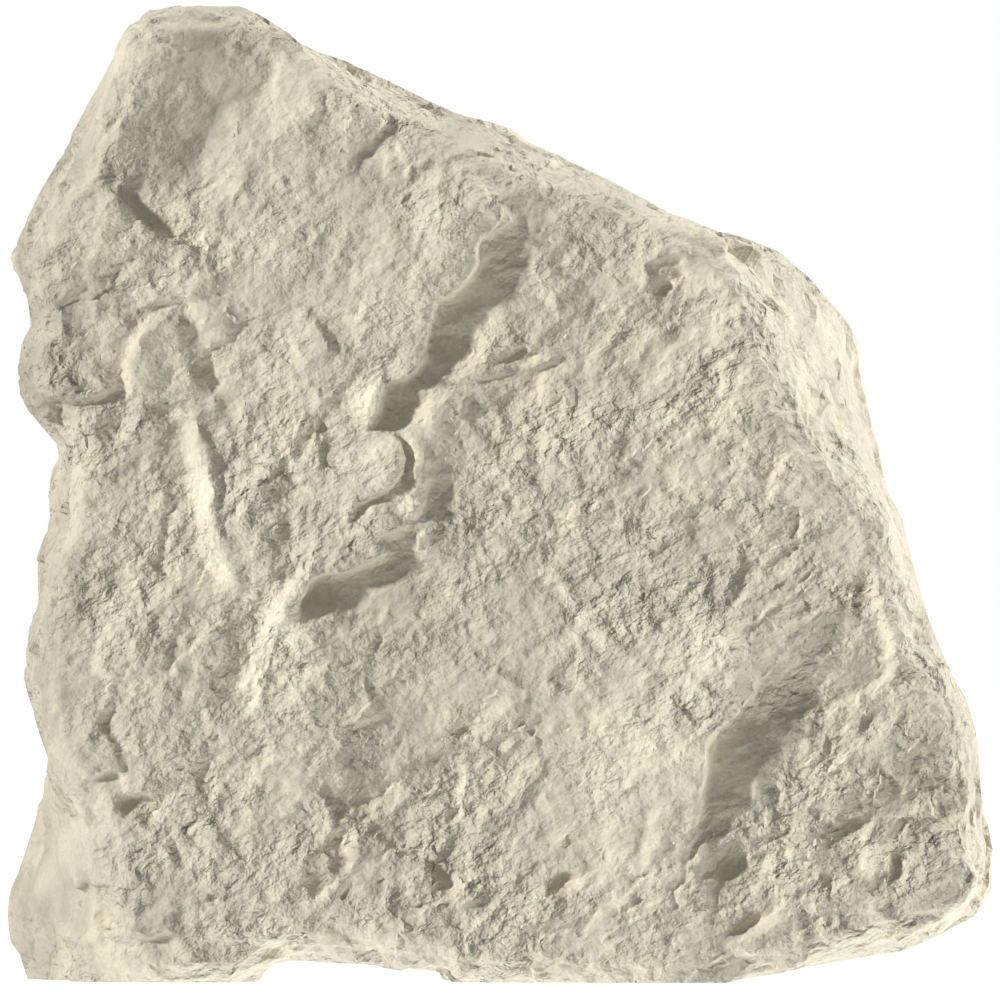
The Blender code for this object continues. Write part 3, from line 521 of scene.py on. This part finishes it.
def read_points(mesh):
    points = np.empty(len(mesh.vertices) * 3)
    mesh.vertices.foreach_get("co", points)
    return points.reshape(-1, 3) / MM


def read_normals(mesh):
    normals = np.empty(len(mesh.vertices) * 3)
    mesh.vertex_normals.foreach_get("vector", normals)
    return normals.reshape(-1, 3)


def write_points(mesh, points):
    mesh.vertices.foreach_set("co", (points * MM).ravel())
    mesh.update()


def apply_modifiers(rock):
    evaluated = rock.evaluated_get(bpy.context.evaluated_depsgraph_get())
    mesh = bpy.data.meshes.new_from_object(evaluated)
    worn = rock.data
    rock.modifiers.clear()
    rock.data = mesh
    bpy.data.meshes.remove(worn)
    mesh.name = NAME


def remesh(rock, voxel):
    modifier = rock.modifiers.new("Voxels", "REMESH")
    modifier.mode = "VOXEL"
    modifier.voxel_size = voxel * MM
    apply_modifiers(rock)


def thin_kernel(distance):
    return np.where(distance > 0.0, distance ** 2 * np.log(np.maximum(distance, 1e-9)), 0.0)


def spot_sheet(spots, x, z):
    """A bending sheet through the spot heights, evaluated at x and z."""
    places = to_plane([(column, row) for column, row, _ in spots])
    heights = np.array([height for _, _, height in spots])
    count = len(spots)
    apart = np.hypot(places[:, None, 0] - places[None, :, 0], places[:, None, 1] - places[None, :, 1])
    flat = np.column_stack([np.ones(count), places])
    system = np.zeros((count + 3, count + 3))
    system[:count, :count] = thin_kernel(apart)
    system[:count, count:] = flat
    system[count:, :count] = flat.T
    weights = np.linalg.solve(system, np.concatenate([heights, np.zeros(3)]))
    sheet = weights[count] + weights[count + 1] * x + weights[count + 2] * z
    for weight, place in zip(weights[:count], places):
        sheet += weight * thin_kernel(np.hypot(x - place[0], z - place[1]))
    return sheet


def near_line(line, x, z):
    """Distance to a line of points, positive on its left, and the place along it from 0 to 1."""
    lengths = np.hypot(*(line[1:] - line[:-1]).T)
    distance = np.full(x.shape, FAR_AWAY)
    rank = np.full(x.shape, FAR_AWAY)
    place = np.zeros(x.shape)
    run = 0.0
    for start, end, length in zip(line[:-1], line[1:], lengths):
        ahead_x, ahead_z = (end - start) / length
        from_x = x - start[0]
        from_z = z - start[1]
        along = np.clip(from_x * ahead_x + from_z * ahead_z, 0.0, length)
        away = np.hypot(from_x - along * ahead_x, from_z - along * ahead_z)
        across = ahead_x * from_z - ahead_z * from_x
        ranked = away - TIE_BREAK * np.abs(across)
        closer = ranked < rank
        rank = np.where(closer, ranked, rank)
        distance = np.where(closer, np.copysign(away, across), distance)
        place = np.where(closer, (run + along) / lengths.sum(), place)
        run += length
    return distance, place


def end_fade(place):
    """How much of a line's height is left at a place along it."""
    return ease(place / STEP_END_FADE) * ease((1.0 - place) / STEP_END_FADE)


def around_line(line, reach, x, z):
    """Which points lie in the box of a line widened by its reach."""
    low = line.min(axis=0) - reach
    high = line.max(axis=0) + reach
    return (x > low[0]) & (x < high[0]) & (z > low[1]) & (z < high[1])


def add_step(relief, step, x, z):
    """Lift the high side of a step and sink its low side."""
    _, height, reach_high, reach_low, edge_width, points = step
    line = to_plane(points)
    near = around_line(line, max(reach_high, reach_low, edge_width), x, z)
    distance, place = near_line(line, x[near], z[near])
    high = (1.0 - LOW_SHARE) * (1.0 - ease(distance / reach_high))
    low = -LOW_SHARE * (1.0 - ease(-distance / reach_low))
    rise = ease(0.5 + distance / edge_width)
    relief[near] += height * end_fade(place) * (rise * high + (1.0 - rise) * low)


def add_crease(relief, crease, x, z):
    """Raise a ridge, or sink a valley, along a line."""
    _, height, reach_left, reach_right, points = crease
    line = to_plane(points)
    near = around_line(line, max(reach_left, reach_right), x, z)
    distance, place = near_line(line, x[near], z[near])
    reach = np.where(distance > 0.0, reach_left, reach_right)
    relief[near] += height * end_fade(place) * np.clip(1.0 - np.abs(distance) / reach, 0.0, 1.0)


def add_hollow(relief, hollow, x, z):
    """Sink an oval hollow, or raise a swell where its depth is negative."""
    column, row, half_length, half_width, turn, depth = hollow
    from_x = x - column_to_x(column)
    from_z = z - row_to_z(row)
    cos_turn = math.cos(math.radians(turn))
    sin_turn = math.sin(math.radians(turn))
    along = (from_x * cos_turn + from_z * sin_turn) / (half_length * PIXEL)
    across = (from_z * cos_turn - from_x * sin_turn) / (half_width * PIXEL)
    relief -= depth * ease(HOLLOW_FULLNESS * (1.0 - np.sqrt(along ** 2 + across ** 2)))


def wander(x, z):
    """Places moved a little to and fro, so that broken edges are ragged."""
    places = along_grain(np.column_stack([x, np.zeros(len(x)), z]), 1.0)
    return (x + EDGE_WANDER * lattice_noise(places, EDGE_WANDER_SIZE, WANDER_SEED),
            z + EDGE_WANDER * lattice_noise(places, EDGE_WANDER_SIZE, WANDER_SEED + 1))


def front_relief(x, z):
    relief = spot_sheet(FRONT_SPOTS, x, z)
    ragged_x, ragged_z = wander(x, z)
    for step in FRONT_STEPS + FINE_STEPS:
        add_step(relief, step, ragged_x, ragged_z)
    for crease in FRONT_CREASES + FINE_CREASES:
        add_crease(relief, crease, ragged_x, ragged_z)
    for hollow in FRONT_HOLLOWS + FINE_HOLLOWS:
        add_hollow(relief, hollow, ragged_x, ragged_z)
    return relief


def back_relief(x, z):
    relief = spot_sheet(BACK_SPOTS, x, z)
    for step in BACK_STEPS:
        add_step(relief, step, x, z)
    return relief


def table_rows(cells):
    """Which row of a noise table each cell uses."""
    first, second, third = CELL_PRIMES
    return (cells[:, 0] * first ^ cells[:, 1] * second ^ cells[:, 2] * third) % TABLE_ROWS


def lattice_noise(points, size, seed):
    """Smooth noise from -1 to 1, with features about as wide as size."""
    table = np.random.default_rng(seed).random(TABLE_ROWS) * 2.0 - 1.0
    cell = np.floor(points / size).astype(np.int64)
    inside = ease(points / size - cell)
    total = np.zeros(len(points))
    for corner in np.ndindex(2, 2, 2):
        key = cell + corner
        index = table_rows(key)
        weight = np.prod(np.where(np.array(corner) == 1, inside, 1.0 - inside), axis=1)
        total += weight * table[index]
    return total


def facets(points, size, tilt, seed):
    """Broken facets: each cell of the stone has its own tilted plane."""
    table = np.random.default_rng(seed).random((TABLE_ROWS, 6))
    cell = np.floor(points / size).astype(np.int64)
    nearest = np.full(len(points), FAR_AWAY)
    height = np.zeros(len(points))
    for offset in np.ndindex(3, 3, 3):
        key = cell + offset - 1
        index = table_rows(key)
        away = points - (key + table[index, :3]) * size
        distance = np.einsum("ij,ij->i", away, away)
        closer = distance < nearest
        nearest = np.where(closer, distance, nearest)
        slope = (table[index, 3:] * 2.0 - 1.0) * tilt
        height = np.where(closer, np.einsum("ij,ij->i", away, slope), height)
    return height


def scoops(points, size, depth, seed):
    """Shell-shaped scoops that meet in sharp ridges."""
    table = np.random.default_rng(seed).random((TABLE_ROWS, 7))
    cell = np.floor(points / size).astype(np.int64)
    height = np.full(len(points), FAR_AWAY)
    for offset in np.ndindex(3, 3, 3):
        key = cell + offset - 1
        index = table_rows(key)
        away = points / size - key - table[index, :3]
        lean = table[index, 3:6] - 0.5
        bowl = np.einsum("ij,ij->i", away, away + lean) + SCOOP_LEVELS * table[index, 6]
        height = np.minimum(height, bowl)
    return depth * (height - height.mean())


def shingles(points, seed):
    """Thin plates that overlap, with their broken edges up and to the left."""
    rise = math.radians(GRAIN_RISE)
    down = points[:, 0] * math.sin(rise) - points[:, 2] * math.cos(rise)
    bend = lattice_noise(points, BROAD_BEND_SIZE, seed)
    bend += SMALL_BEND_SHARE * lattice_noise(points, SMALL_BEND_SIZE, seed + 1)
    level = down / SHINGLE_SPACING + SHINGLE_BEND * bend
    below = np.floor(level)
    edge = ease((level - below - SHINGLE_EDGE_START) / SHINGLE_EDGE_WIDTH)
    patches = lattice_noise(points, SHINGLE_PATCH_SIZE, seed + 2)
    cover = ease(SHINGLE_COVER + SHINGLE_COVER_SPREAD * patches)
    return SHINGLE_THICKNESS * cover * (below + edge - level + 0.5)


def bed_edges(points, seed):
    """How far each bed stands out of the sides."""
    warped = points[:, 1] + BED_WARP * lattice_noise(points, BED_WARP_SIZE, seed)
    layer = warped / BED_THICKNESS
    table = np.random.default_rng(seed + 1).random(BED_ROWS) * 2.0 - 1.0
    below = np.floor(layer).astype(np.int64)
    part = ease((layer - below - BED_EDGE_START) / BED_EDGE_WIDTH)
    this_bed = table[below % BED_ROWS]
    next_bed = table[(below + 1) % BED_ROWS]
    strength = BED_STRENGTH + BED_STRENGTH_SPREAD * lattice_noise(points, BED_PATCH_SIZE, seed + 2)
    return (this_bed * (1.0 - part) + next_bed * part) * strength


def hold_outline(points):
    """Press whatever swells past the outline back inside it, softly."""
    heart = to_plane([HEART])[0]
    from_x = points[:, 0] - heart[0]
    from_z = points[:, 2] - heart[1]
    radius = np.hypot(from_x, from_z)
    angles = np.linspace(-math.pi, math.pi, 2 * DIRECTIONS + 1)
    limits = ray_lengths(to_plane(OUTLINE), heart, angles)
    limit = np.interp(np.arctan2(from_z, from_x), angles, limits) + SWELL
    excess = radius - limit + SOFT_EDGE
    pressed = np.where(excess > 0.0, limit - SOFT_EDGE * np.exp(-excess / SOFT_EDGE), radius)
    factor = pressed / np.maximum(radius, 1e-6)
    held = points.copy()
    held[:, 0] = heart[0] + from_x * factor
    held[:, 2] = heart[1] + from_z * factor
    return held


def break_surface(mesh):
    """Move every point of the blank to the broken surface."""
    points = read_points(mesh)
    normals = read_normals(mesh)
    x = points[:, 0]
    z = points[:, 2]
    side = ease(SIDE_GAIN * (1.0 - np.abs(normals[:, 1])))
    front = ease((WAIST_Y - points[:, 1]) / (FRONT_FADE * FRONT_DEPTH))
    back = ease((points[:, 1] - WAIST_Y) / (BACK_FADE * BACK_DEPTH))

    lumps = SIDE_LUMP * lattice_noise(points, SIDE_LUMP_SIZE, LUMP_SEED)
    swell = side * (BED_RELIEF * bed_edges(points, BED_SEED) + lumps)
    strength = FACET_STRENGTH + FACET_SIDE_STRENGTH * side
    for number, size in enumerate(FACET_SIZES):
        swell += strength * facets(points, size, FACET_TILT, FACET_SEED + number)
    moved = hold_outline(points + normals * swell[:, None])
    on_front = front > 0.0
    on_back = back > 0.0
    moved[on_front, 1] -= front[on_front] * front_relief(x[on_front], z[on_front])
    moved[on_back, 1] += back[on_back] * back_relief(x[on_back], z[on_back])
    write_points(mesh, moved)


def thin_out(rock, thin_front, faces_left):
    """Collapse the faces of the broad face, or all the others, until faces_left of them are left."""
    on_front = read_points(rock.data)[:, 1] < FRONT_LIMIT_Y
    rock.data.calc_loop_triangles()
    corners = np.empty(len(rock.data.loop_triangles) * 3, dtype=np.int32)
    rock.data.loop_triangles.foreach_get("vertices", corners)
    thinned = on_front if thin_front else ~on_front
    kept_faces = np.count_nonzero(~thinned[corners.reshape(-1, 3)].any(axis=1))

    group = rock.vertex_groups.new(name="thinned")
    group.add(np.flatnonzero(thinned).tolist(), 1.0, "REPLACE")
    modifier = rock.modifiers.new("Fewer faces", "DECIMATE")
    modifier.vertex_group = group.name
    modifier.ratio = (kept_faces + faces_left) / len(rock.data.loop_triangles)
    modifier.use_collapse_triangulate = True
    apply_modifiers(rock)
    rock.vertex_groups.clear()


def cut_base(rock):
    """Cut the foot flat at z = 0 and close it."""
    model = bmesh.new()
    model.from_mesh(rock.data)
    everything = model.verts[:] + model.edges[:] + model.faces[:]
    bmesh.ops.bisect_plane(model, geom=everything, dist=SNAP_TO_BASE * MM, plane_co=(0, 0, 0),
                           plane_no=(0, 0, 1), clear_inner=True)
    for vertex in model.verts:
        if vertex.co.z < SNAP_TO_BASE * MM:
            vertex.co.z = 0.0
    rim = [edge for edge in model.edges if edge.is_boundary]
    bmesh.ops.holes_fill(model, edges=rim, sides=0)
    bmesh.ops.triangulate(model, faces=model.faces[:])
    bmesh.ops.dissolve_degenerate(model, dist=MERGE_DISTANCE * MM, edges=model.edges[:])
    bmesh.ops.recalc_face_normals(model, faces=model.faces[:])
    model.to_mesh(rock.data)
    model.free()


def centre_on_frame(mesh):
    """Set the block where its solid stands, and say by how much it moved."""
    low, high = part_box(NODE)
    points = read_points(mesh)
    middle = 0.5 * (points.min(axis=0) + points.max(axis=0))
    middle[:2] -= [0.5 * (low.x + high.x) / MM, 0.5 * (low.y + high.y) / MM]
    points[:, :2] -= middle[:2]
    write_points(mesh, points)
    return middle


def roughness_at(x, z):
    """How rough the broken surface is at a place, 1 being usual."""
    rough = np.ones(len(x))
    for column, row, reach, change in ROUGHNESS_PATCHES:
        away = np.hypot(x - column_to_x(column), z - row_to_z(row)) / (reach * PIXEL)
        rough += change * np.exp(-away ** 2)
    return np.clip(rough, *ROUGHNESS_LIMITS)


def along_grain(points, stretch):
    """Points turned so that the first axis follows the grain, and shrunk along it."""
    rise = math.radians(GRAIN_RISE)
    along = points[:, 0] * math.cos(rise) + points[:, 2] * math.sin(rise)
    across = points[:, 2] * math.cos(rise) - points[:, 0] * math.sin(rise)
    return np.column_stack([along / stretch, points[:, 1], across])


def crumble(mesh):
    """Give the broken surface its scoops, its shingles and its crumb."""
    points = read_points(mesh)
    normals = read_normals(mesh)
    warp = np.column_stack([lattice_noise(points, WARP_SIZE, WARP_SEED + axis) for axis in range(3)])
    warped = points + WARP * warp
    height = shingles(warped, SHINGLE_SEED)
    for number, (size, depth, stretch) in enumerate(SCOOPS):
        height += scoops(along_grain(warped, stretch), size, depth, SCOOP_SEED + number)
    for number, (size, tilt, stretch) in enumerate(CHIPS):
        height += facets(along_grain(warped, stretch), size, tilt, CHIP_SEED + number)
    size, amount, stretch = CRUMB
    height += amount * lattice_noise(along_grain(points, stretch), size, CRUMB_SEED)
    patches = 1.0 + PATCHINESS * lattice_noise(points, PATCH_WIDTH, PATCH_SEED)
    height *= roughness_at(points[:, 0], points[:, 2]) * patches
    write_points(mesh, hold_outline(points + normals * height[:, None]))


def store(mesh, name, values):
    attribute = mesh.attributes.new(name, "FLOAT", "POINT")
    attribute.data.foreach_set("value", values.astype(np.float32))


def paint_skin(mesh):
    """Store at each point how much darker or paler the skin is, mostly painted shade and painted highlights,
    and how rough.
    """
    points = read_points(mesh)
    shade = np.zeros(len(points))
    # Painted shade and painted highlights from the patches, with some grey tone of the chalk
    for _, column, row, reach, share in SKIN_PATCHES:
        away = np.hypot(points[:, 0] - column_to_x(column), points[:, 2] - row_to_z(row)) / (reach * PIXEL)
        shade += share * np.exp(-away ** 2)
    # Painted shade along the left edge
    end, width, share = LEFT_EDGE_PAINTED_SHADE
    shade += share * ease((column_to_x(end) - points[:, 0]) / (width * PIXEL))
    shade *= 1.0 + MOTTLE * lattice_noise(points, MOTTLE_SIZE, MOTTLE_SEED)
    store(mesh, "shade", np.clip(shade, -1.0, 1.0))
    store(mesh, "rough", np.clip(roughness_at(points[:, 0], points[:, 2]), 0.0, BUMP_LIMIT))


def join(tree, source, source_name, target, target_name):
    tree.links.new(source.outputs[source_name], target.inputs[target_name])


def turned_to_grain(tree, coordinates, stretch):
    """Object coordinates turned to the grain and stretched along it."""
    mapping = tree.nodes.new("ShaderNodeMapping")
    mapping.vector_type = "TEXTURE"
    mapping.inputs["Rotation"].default_value = (0.0, -math.radians(GRAIN_RISE), 0.0)
    mapping.inputs["Scale"].default_value = (stretch, 1.0, 1.0)
    join(tree, coordinates, "Object", mapping, "Vector")
    return mapping


def grain_noise(tree, coordinates, scale, stretch, detail):
    """A noise texture stretched along the grain; scale is in cells a millimetre."""
    mapping = turned_to_grain(tree, coordinates, stretch)
    noise = tree.nodes.new("ShaderNodeTexNoise")
    noise.inputs["Scale"].default_value = scale / MM
    noise.inputs["Detail"].default_value = detail
    noise.inputs["Roughness"].default_value = 0.6
    join(tree, mapping, "Vector", noise, "Vector")
    return noise


def spread_out(tree, noise, lowest, highest):
    """The middle range of a noise, spread from lowest to highest."""
    spread = tree.nodes.new("ShaderNodeMapRange")
    spread.inputs["From Min"].default_value = 0.35
    spread.inputs["From Max"].default_value = 0.65
    spread.inputs["To Min"].default_value = lowest
    spread.inputs["To Max"].default_value = highest
    join(tree, noise, "Fac", spread, "Value")
    return spread


def grain_chips(tree, coordinates, scale, stretch):
    """Small chips with sharp ridges between them; scale is in chips a millimetre."""
    mapping = turned_to_grain(tree, coordinates, stretch)
    chips = tree.nodes.new("ShaderNodeTexVoronoi")
    chips.inputs["Scale"].default_value = scale / MM
    join(tree, mapping, "Vector", chips, "Vector")
    return chips


def add_bump(tree, texture, output_name, depth, below, strength):
    """A bump of a texture over the bump below it."""
    bump = tree.nodes.new("ShaderNodeBump")
    bump.inputs["Distance"].default_value = depth * MM
    join(tree, texture, output_name, bump, "Height")
    join(tree, strength, "Value", bump, "Strength")
    if below is not None:
        join(tree, below, "Normal", bump, "Normal")
    return bump


def stored(tree, name):
    node = tree.nodes.new("ShaderNodeAttribute")
    node.attribute_name = name
    return node


def colour_skin(tree, coordinates, shader):
    """Warm and cool chalk, darkened or paled by the stored shade (painted shade, painted highlights and some
    grey tone), and a fine speckle.
    """
    tint = grain_noise(tree, coordinates, TINT_SCALE, 1.5, 3.0)
    ramp = tree.nodes.new("ShaderNodeValToRGB")
    for stop, place, colour in zip(ramp.color_ramp.elements, TINT_PLACES, (COOL_CHALK, WARM_CHALK)):
        stop.position = place
        stop.color = colour
    join(tree, tint, "Fac", ramp, "Fac")

    # The stored shade sets the value: painted shade, painted highlights and some grey tone of the chalk
    value = tree.nodes.new("ShaderNodeMapRange")
    value.inputs["From Min"].default_value = -1.0
    value.inputs["To Min"].default_value = PALEST_VALUE
    value.inputs["To Max"].default_value = DARKEST_VALUE
    painted_light_and_tone = tree.nodes.new("ShaderNodeHueSaturation")
    join(tree, stored(tree, "shade"), "Fac", value, "Value")
    join(tree, value, "Result", painted_light_and_tone, "Value")
    join(tree, ramp, "Color", painted_light_and_tone, "Color")

    fine = grain_noise(tree, coordinates, SPECKLE_SCALE, 1.2, 1.0)
    speckle = tree.nodes.new("ShaderNodeHueSaturation")
    join(tree, spread_out(tree, fine, 1.0 - SPECKLE, 1.0 + SPECKLE), "Result", speckle, "Value")
    join(tree, painted_light_and_tone, "Color", speckle, "Color")
    join(tree, speckle, "Color", shader, "Base Color")


def roughen_skin(tree, coordinates, shader):
    """Broken chips and grain, stronger in patches and where the stone is rougher."""
    blotch = grain_noise(tree, coordinates, BLOTCH_SCALE, 1.3, 1.0)
    strength = tree.nodes.new("ShaderNodeMath")
    strength.operation = "MULTIPLY"
    blotches = spread_out(tree, blotch, *BLOTCH_STRENGTHS)
    tree.links.new(blotches.outputs["Result"], strength.inputs[0])
    tree.links.new(stored(tree, "rough").outputs["Fac"], strength.inputs[1])

    scale, stretch, depth = GRAIN_BUMP
    grain = grain_noise(tree, coordinates, scale, stretch, 4.0)
    bump = add_bump(tree, grain, "Fac", depth, None, strength)
    for scale, stretch, depth in CHIP_BUMPS:
        chips = grain_chips(tree, coordinates, scale, stretch)
        bump = add_bump(tree, chips, "Distance", depth, bump, strength)
    join(tree, bump, "Normal", shader, "Normal")


def chalk_material():
    material = bpy.data.materials.new("chalk")
    material.use_nodes = True
    tree = material.node_tree
    shader = tree.nodes["Principled BSDF"]
    shader.inputs["Roughness"].default_value = 0.95
    shader.inputs["Specular IOR Level"].default_value = 0.2
    coordinates = tree.nodes.new("ShaderNodeTexCoord")
    colour_skin(tree, coordinates, shader)
    roughen_skin(tree, coordinates, shader)
    return material


def make_rock():
    rock = bpy.data.objects.new(NAME, make_blank())
    bpy.context.scene.collection.objects.link(rock)
    remesh(rock, COARSE_VOXEL)
    break_surface(rock.data)
    remesh(rock, FINE_VOXEL)
    crumble(rock.data)
    thin_out(rock, False, SIDE_AND_BACK_FACES)
    thin_out(rock, True, FRONT_FACES)
    cut_base(rock)
    paint_skin(rock.data)
    middle = centre_on_frame(rock.data)
    rock.data.shade_smooth()
    rock.data.set_sharp_from_angle(angle=math.radians(SHARP_EDGE))
    rock.data.materials.clear()
    rock.data.materials.append(chalk_material())
    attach(rock, "root")
    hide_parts(NODE)
    return middle


def make_floor():
    mesh = bpy.data.meshes.new("floor")
    half = FLOOR_HALF
    corners = [(-half, -half, 0), (half, -half, 0), (half, half, 0), (-half, half, 0)]
    mesh.from_pydata(corners, [], [(0, 1, 2, 3)])
    floor = bpy.data.objects.new("floor", mesh)
    bpy.context.scene.collection.objects.link(floor)
    floor.visible_diffuse = False
    floor.visible_shadow = False
    material = bpy.data.materials.new("floor")
    material.use_nodes = True
    shader = material.node_tree.nodes["Principled BSDF"]
    shader.inputs["Base Color"].default_value = (0.3, 0.3, 0.3, 1.0)
    shader.inputs["Roughness"].default_value = 1.0
    shader.inputs["Specular IOR Level"].default_value = 0.0
    shader.inputs["Emission Color"].default_value = (1.0, 1.0, 0.99, 1.0)
    shader.inputs["Emission Strength"].default_value = FLOOR_GLOW
    mesh.materials.append(material)


def make_sun(name, towards, strength, spread, colour):
    light = bpy.data.lights.new(name, "SUN")
    light.energy = strength
    light.angle = math.radians(spread)
    light.color = colour
    sun = bpy.data.objects.new(name, light)
    sun.rotation_euler = Vector(towards).to_track_quat("Z", "Y").to_euler()
    bpy.context.scene.collection.objects.link(sun)


def make_surround():
    """Even soft light from all round, in front of a white background."""
    world = bpy.data.worlds.new("surround")
    bpy.context.scene.world = world
    world.use_nodes = True
    tree = world.node_tree
    tree.nodes.clear()
    light = tree.nodes.new("ShaderNodeBackground")
    light.inputs["Strength"].default_value = SURROUND_STRENGTH
    backdrop = tree.nodes.new("ShaderNodeBackground")
    backdrop.inputs["Strength"].default_value = 1.0
    backdrop.inputs["Color"].default_value = (1.0, 1.0, 1.0, 1.0)
    light.inputs["Color"].default_value = (1.0, 1.0, 1.0, 1.0)
    path = tree.nodes.new("ShaderNodeLightPath")
    mix = tree.nodes.new("ShaderNodeMixShader")
    output = tree.nodes.new("ShaderNodeOutputWorld")
    tree.links.new(path.outputs["Is Camera Ray"], mix.inputs[0])
    tree.links.new(light.outputs[0], mix.inputs[1])
    tree.links.new(backdrop.outputs[0], mix.inputs[2])
    tree.links.new(mix.outputs[0], output.inputs[0])


def make_camera(middle):
    """A level view square on to the broad face, which takes in the picture's width at the waist."""
    camera = bpy.data.cameras.new("camera")
    camera.sensor_width = SENSOR
    camera.lens = SENSOR * CAMERA_DISTANCE / (PICTURE_SIZE * PIXEL)
    camera.clip_start = 0.1
    camera.clip_end = 100.0
    view = bpy.data.objects.new("camera", camera)
    aim_y = MATCHED_DEPTH - middle[1]
    view.location = (
        (column_to_x(PICTURE_SIZE / 2) - middle[0]) * MM,
        (aim_y - CAMERA_DISTANCE) * MM,
        row_to_z(PICTURE_SIZE / 2) * MM,
    )
    view.rotation_euler = (math.radians(90.0), 0.0, 0.0)
    bpy.context.scene.collection.objects.link(view)
    bpy.context.scene.camera = view


def main():
    middle = make_rock()
    make_floor()
    for name, towards, strength, spread, colour in SUNS:
        make_sun(name, towards, strength, spread, colour)
    make_surround()
    make_camera(middle)
    bpy.context.scene.view_settings.view_transform = "Standard"


main()
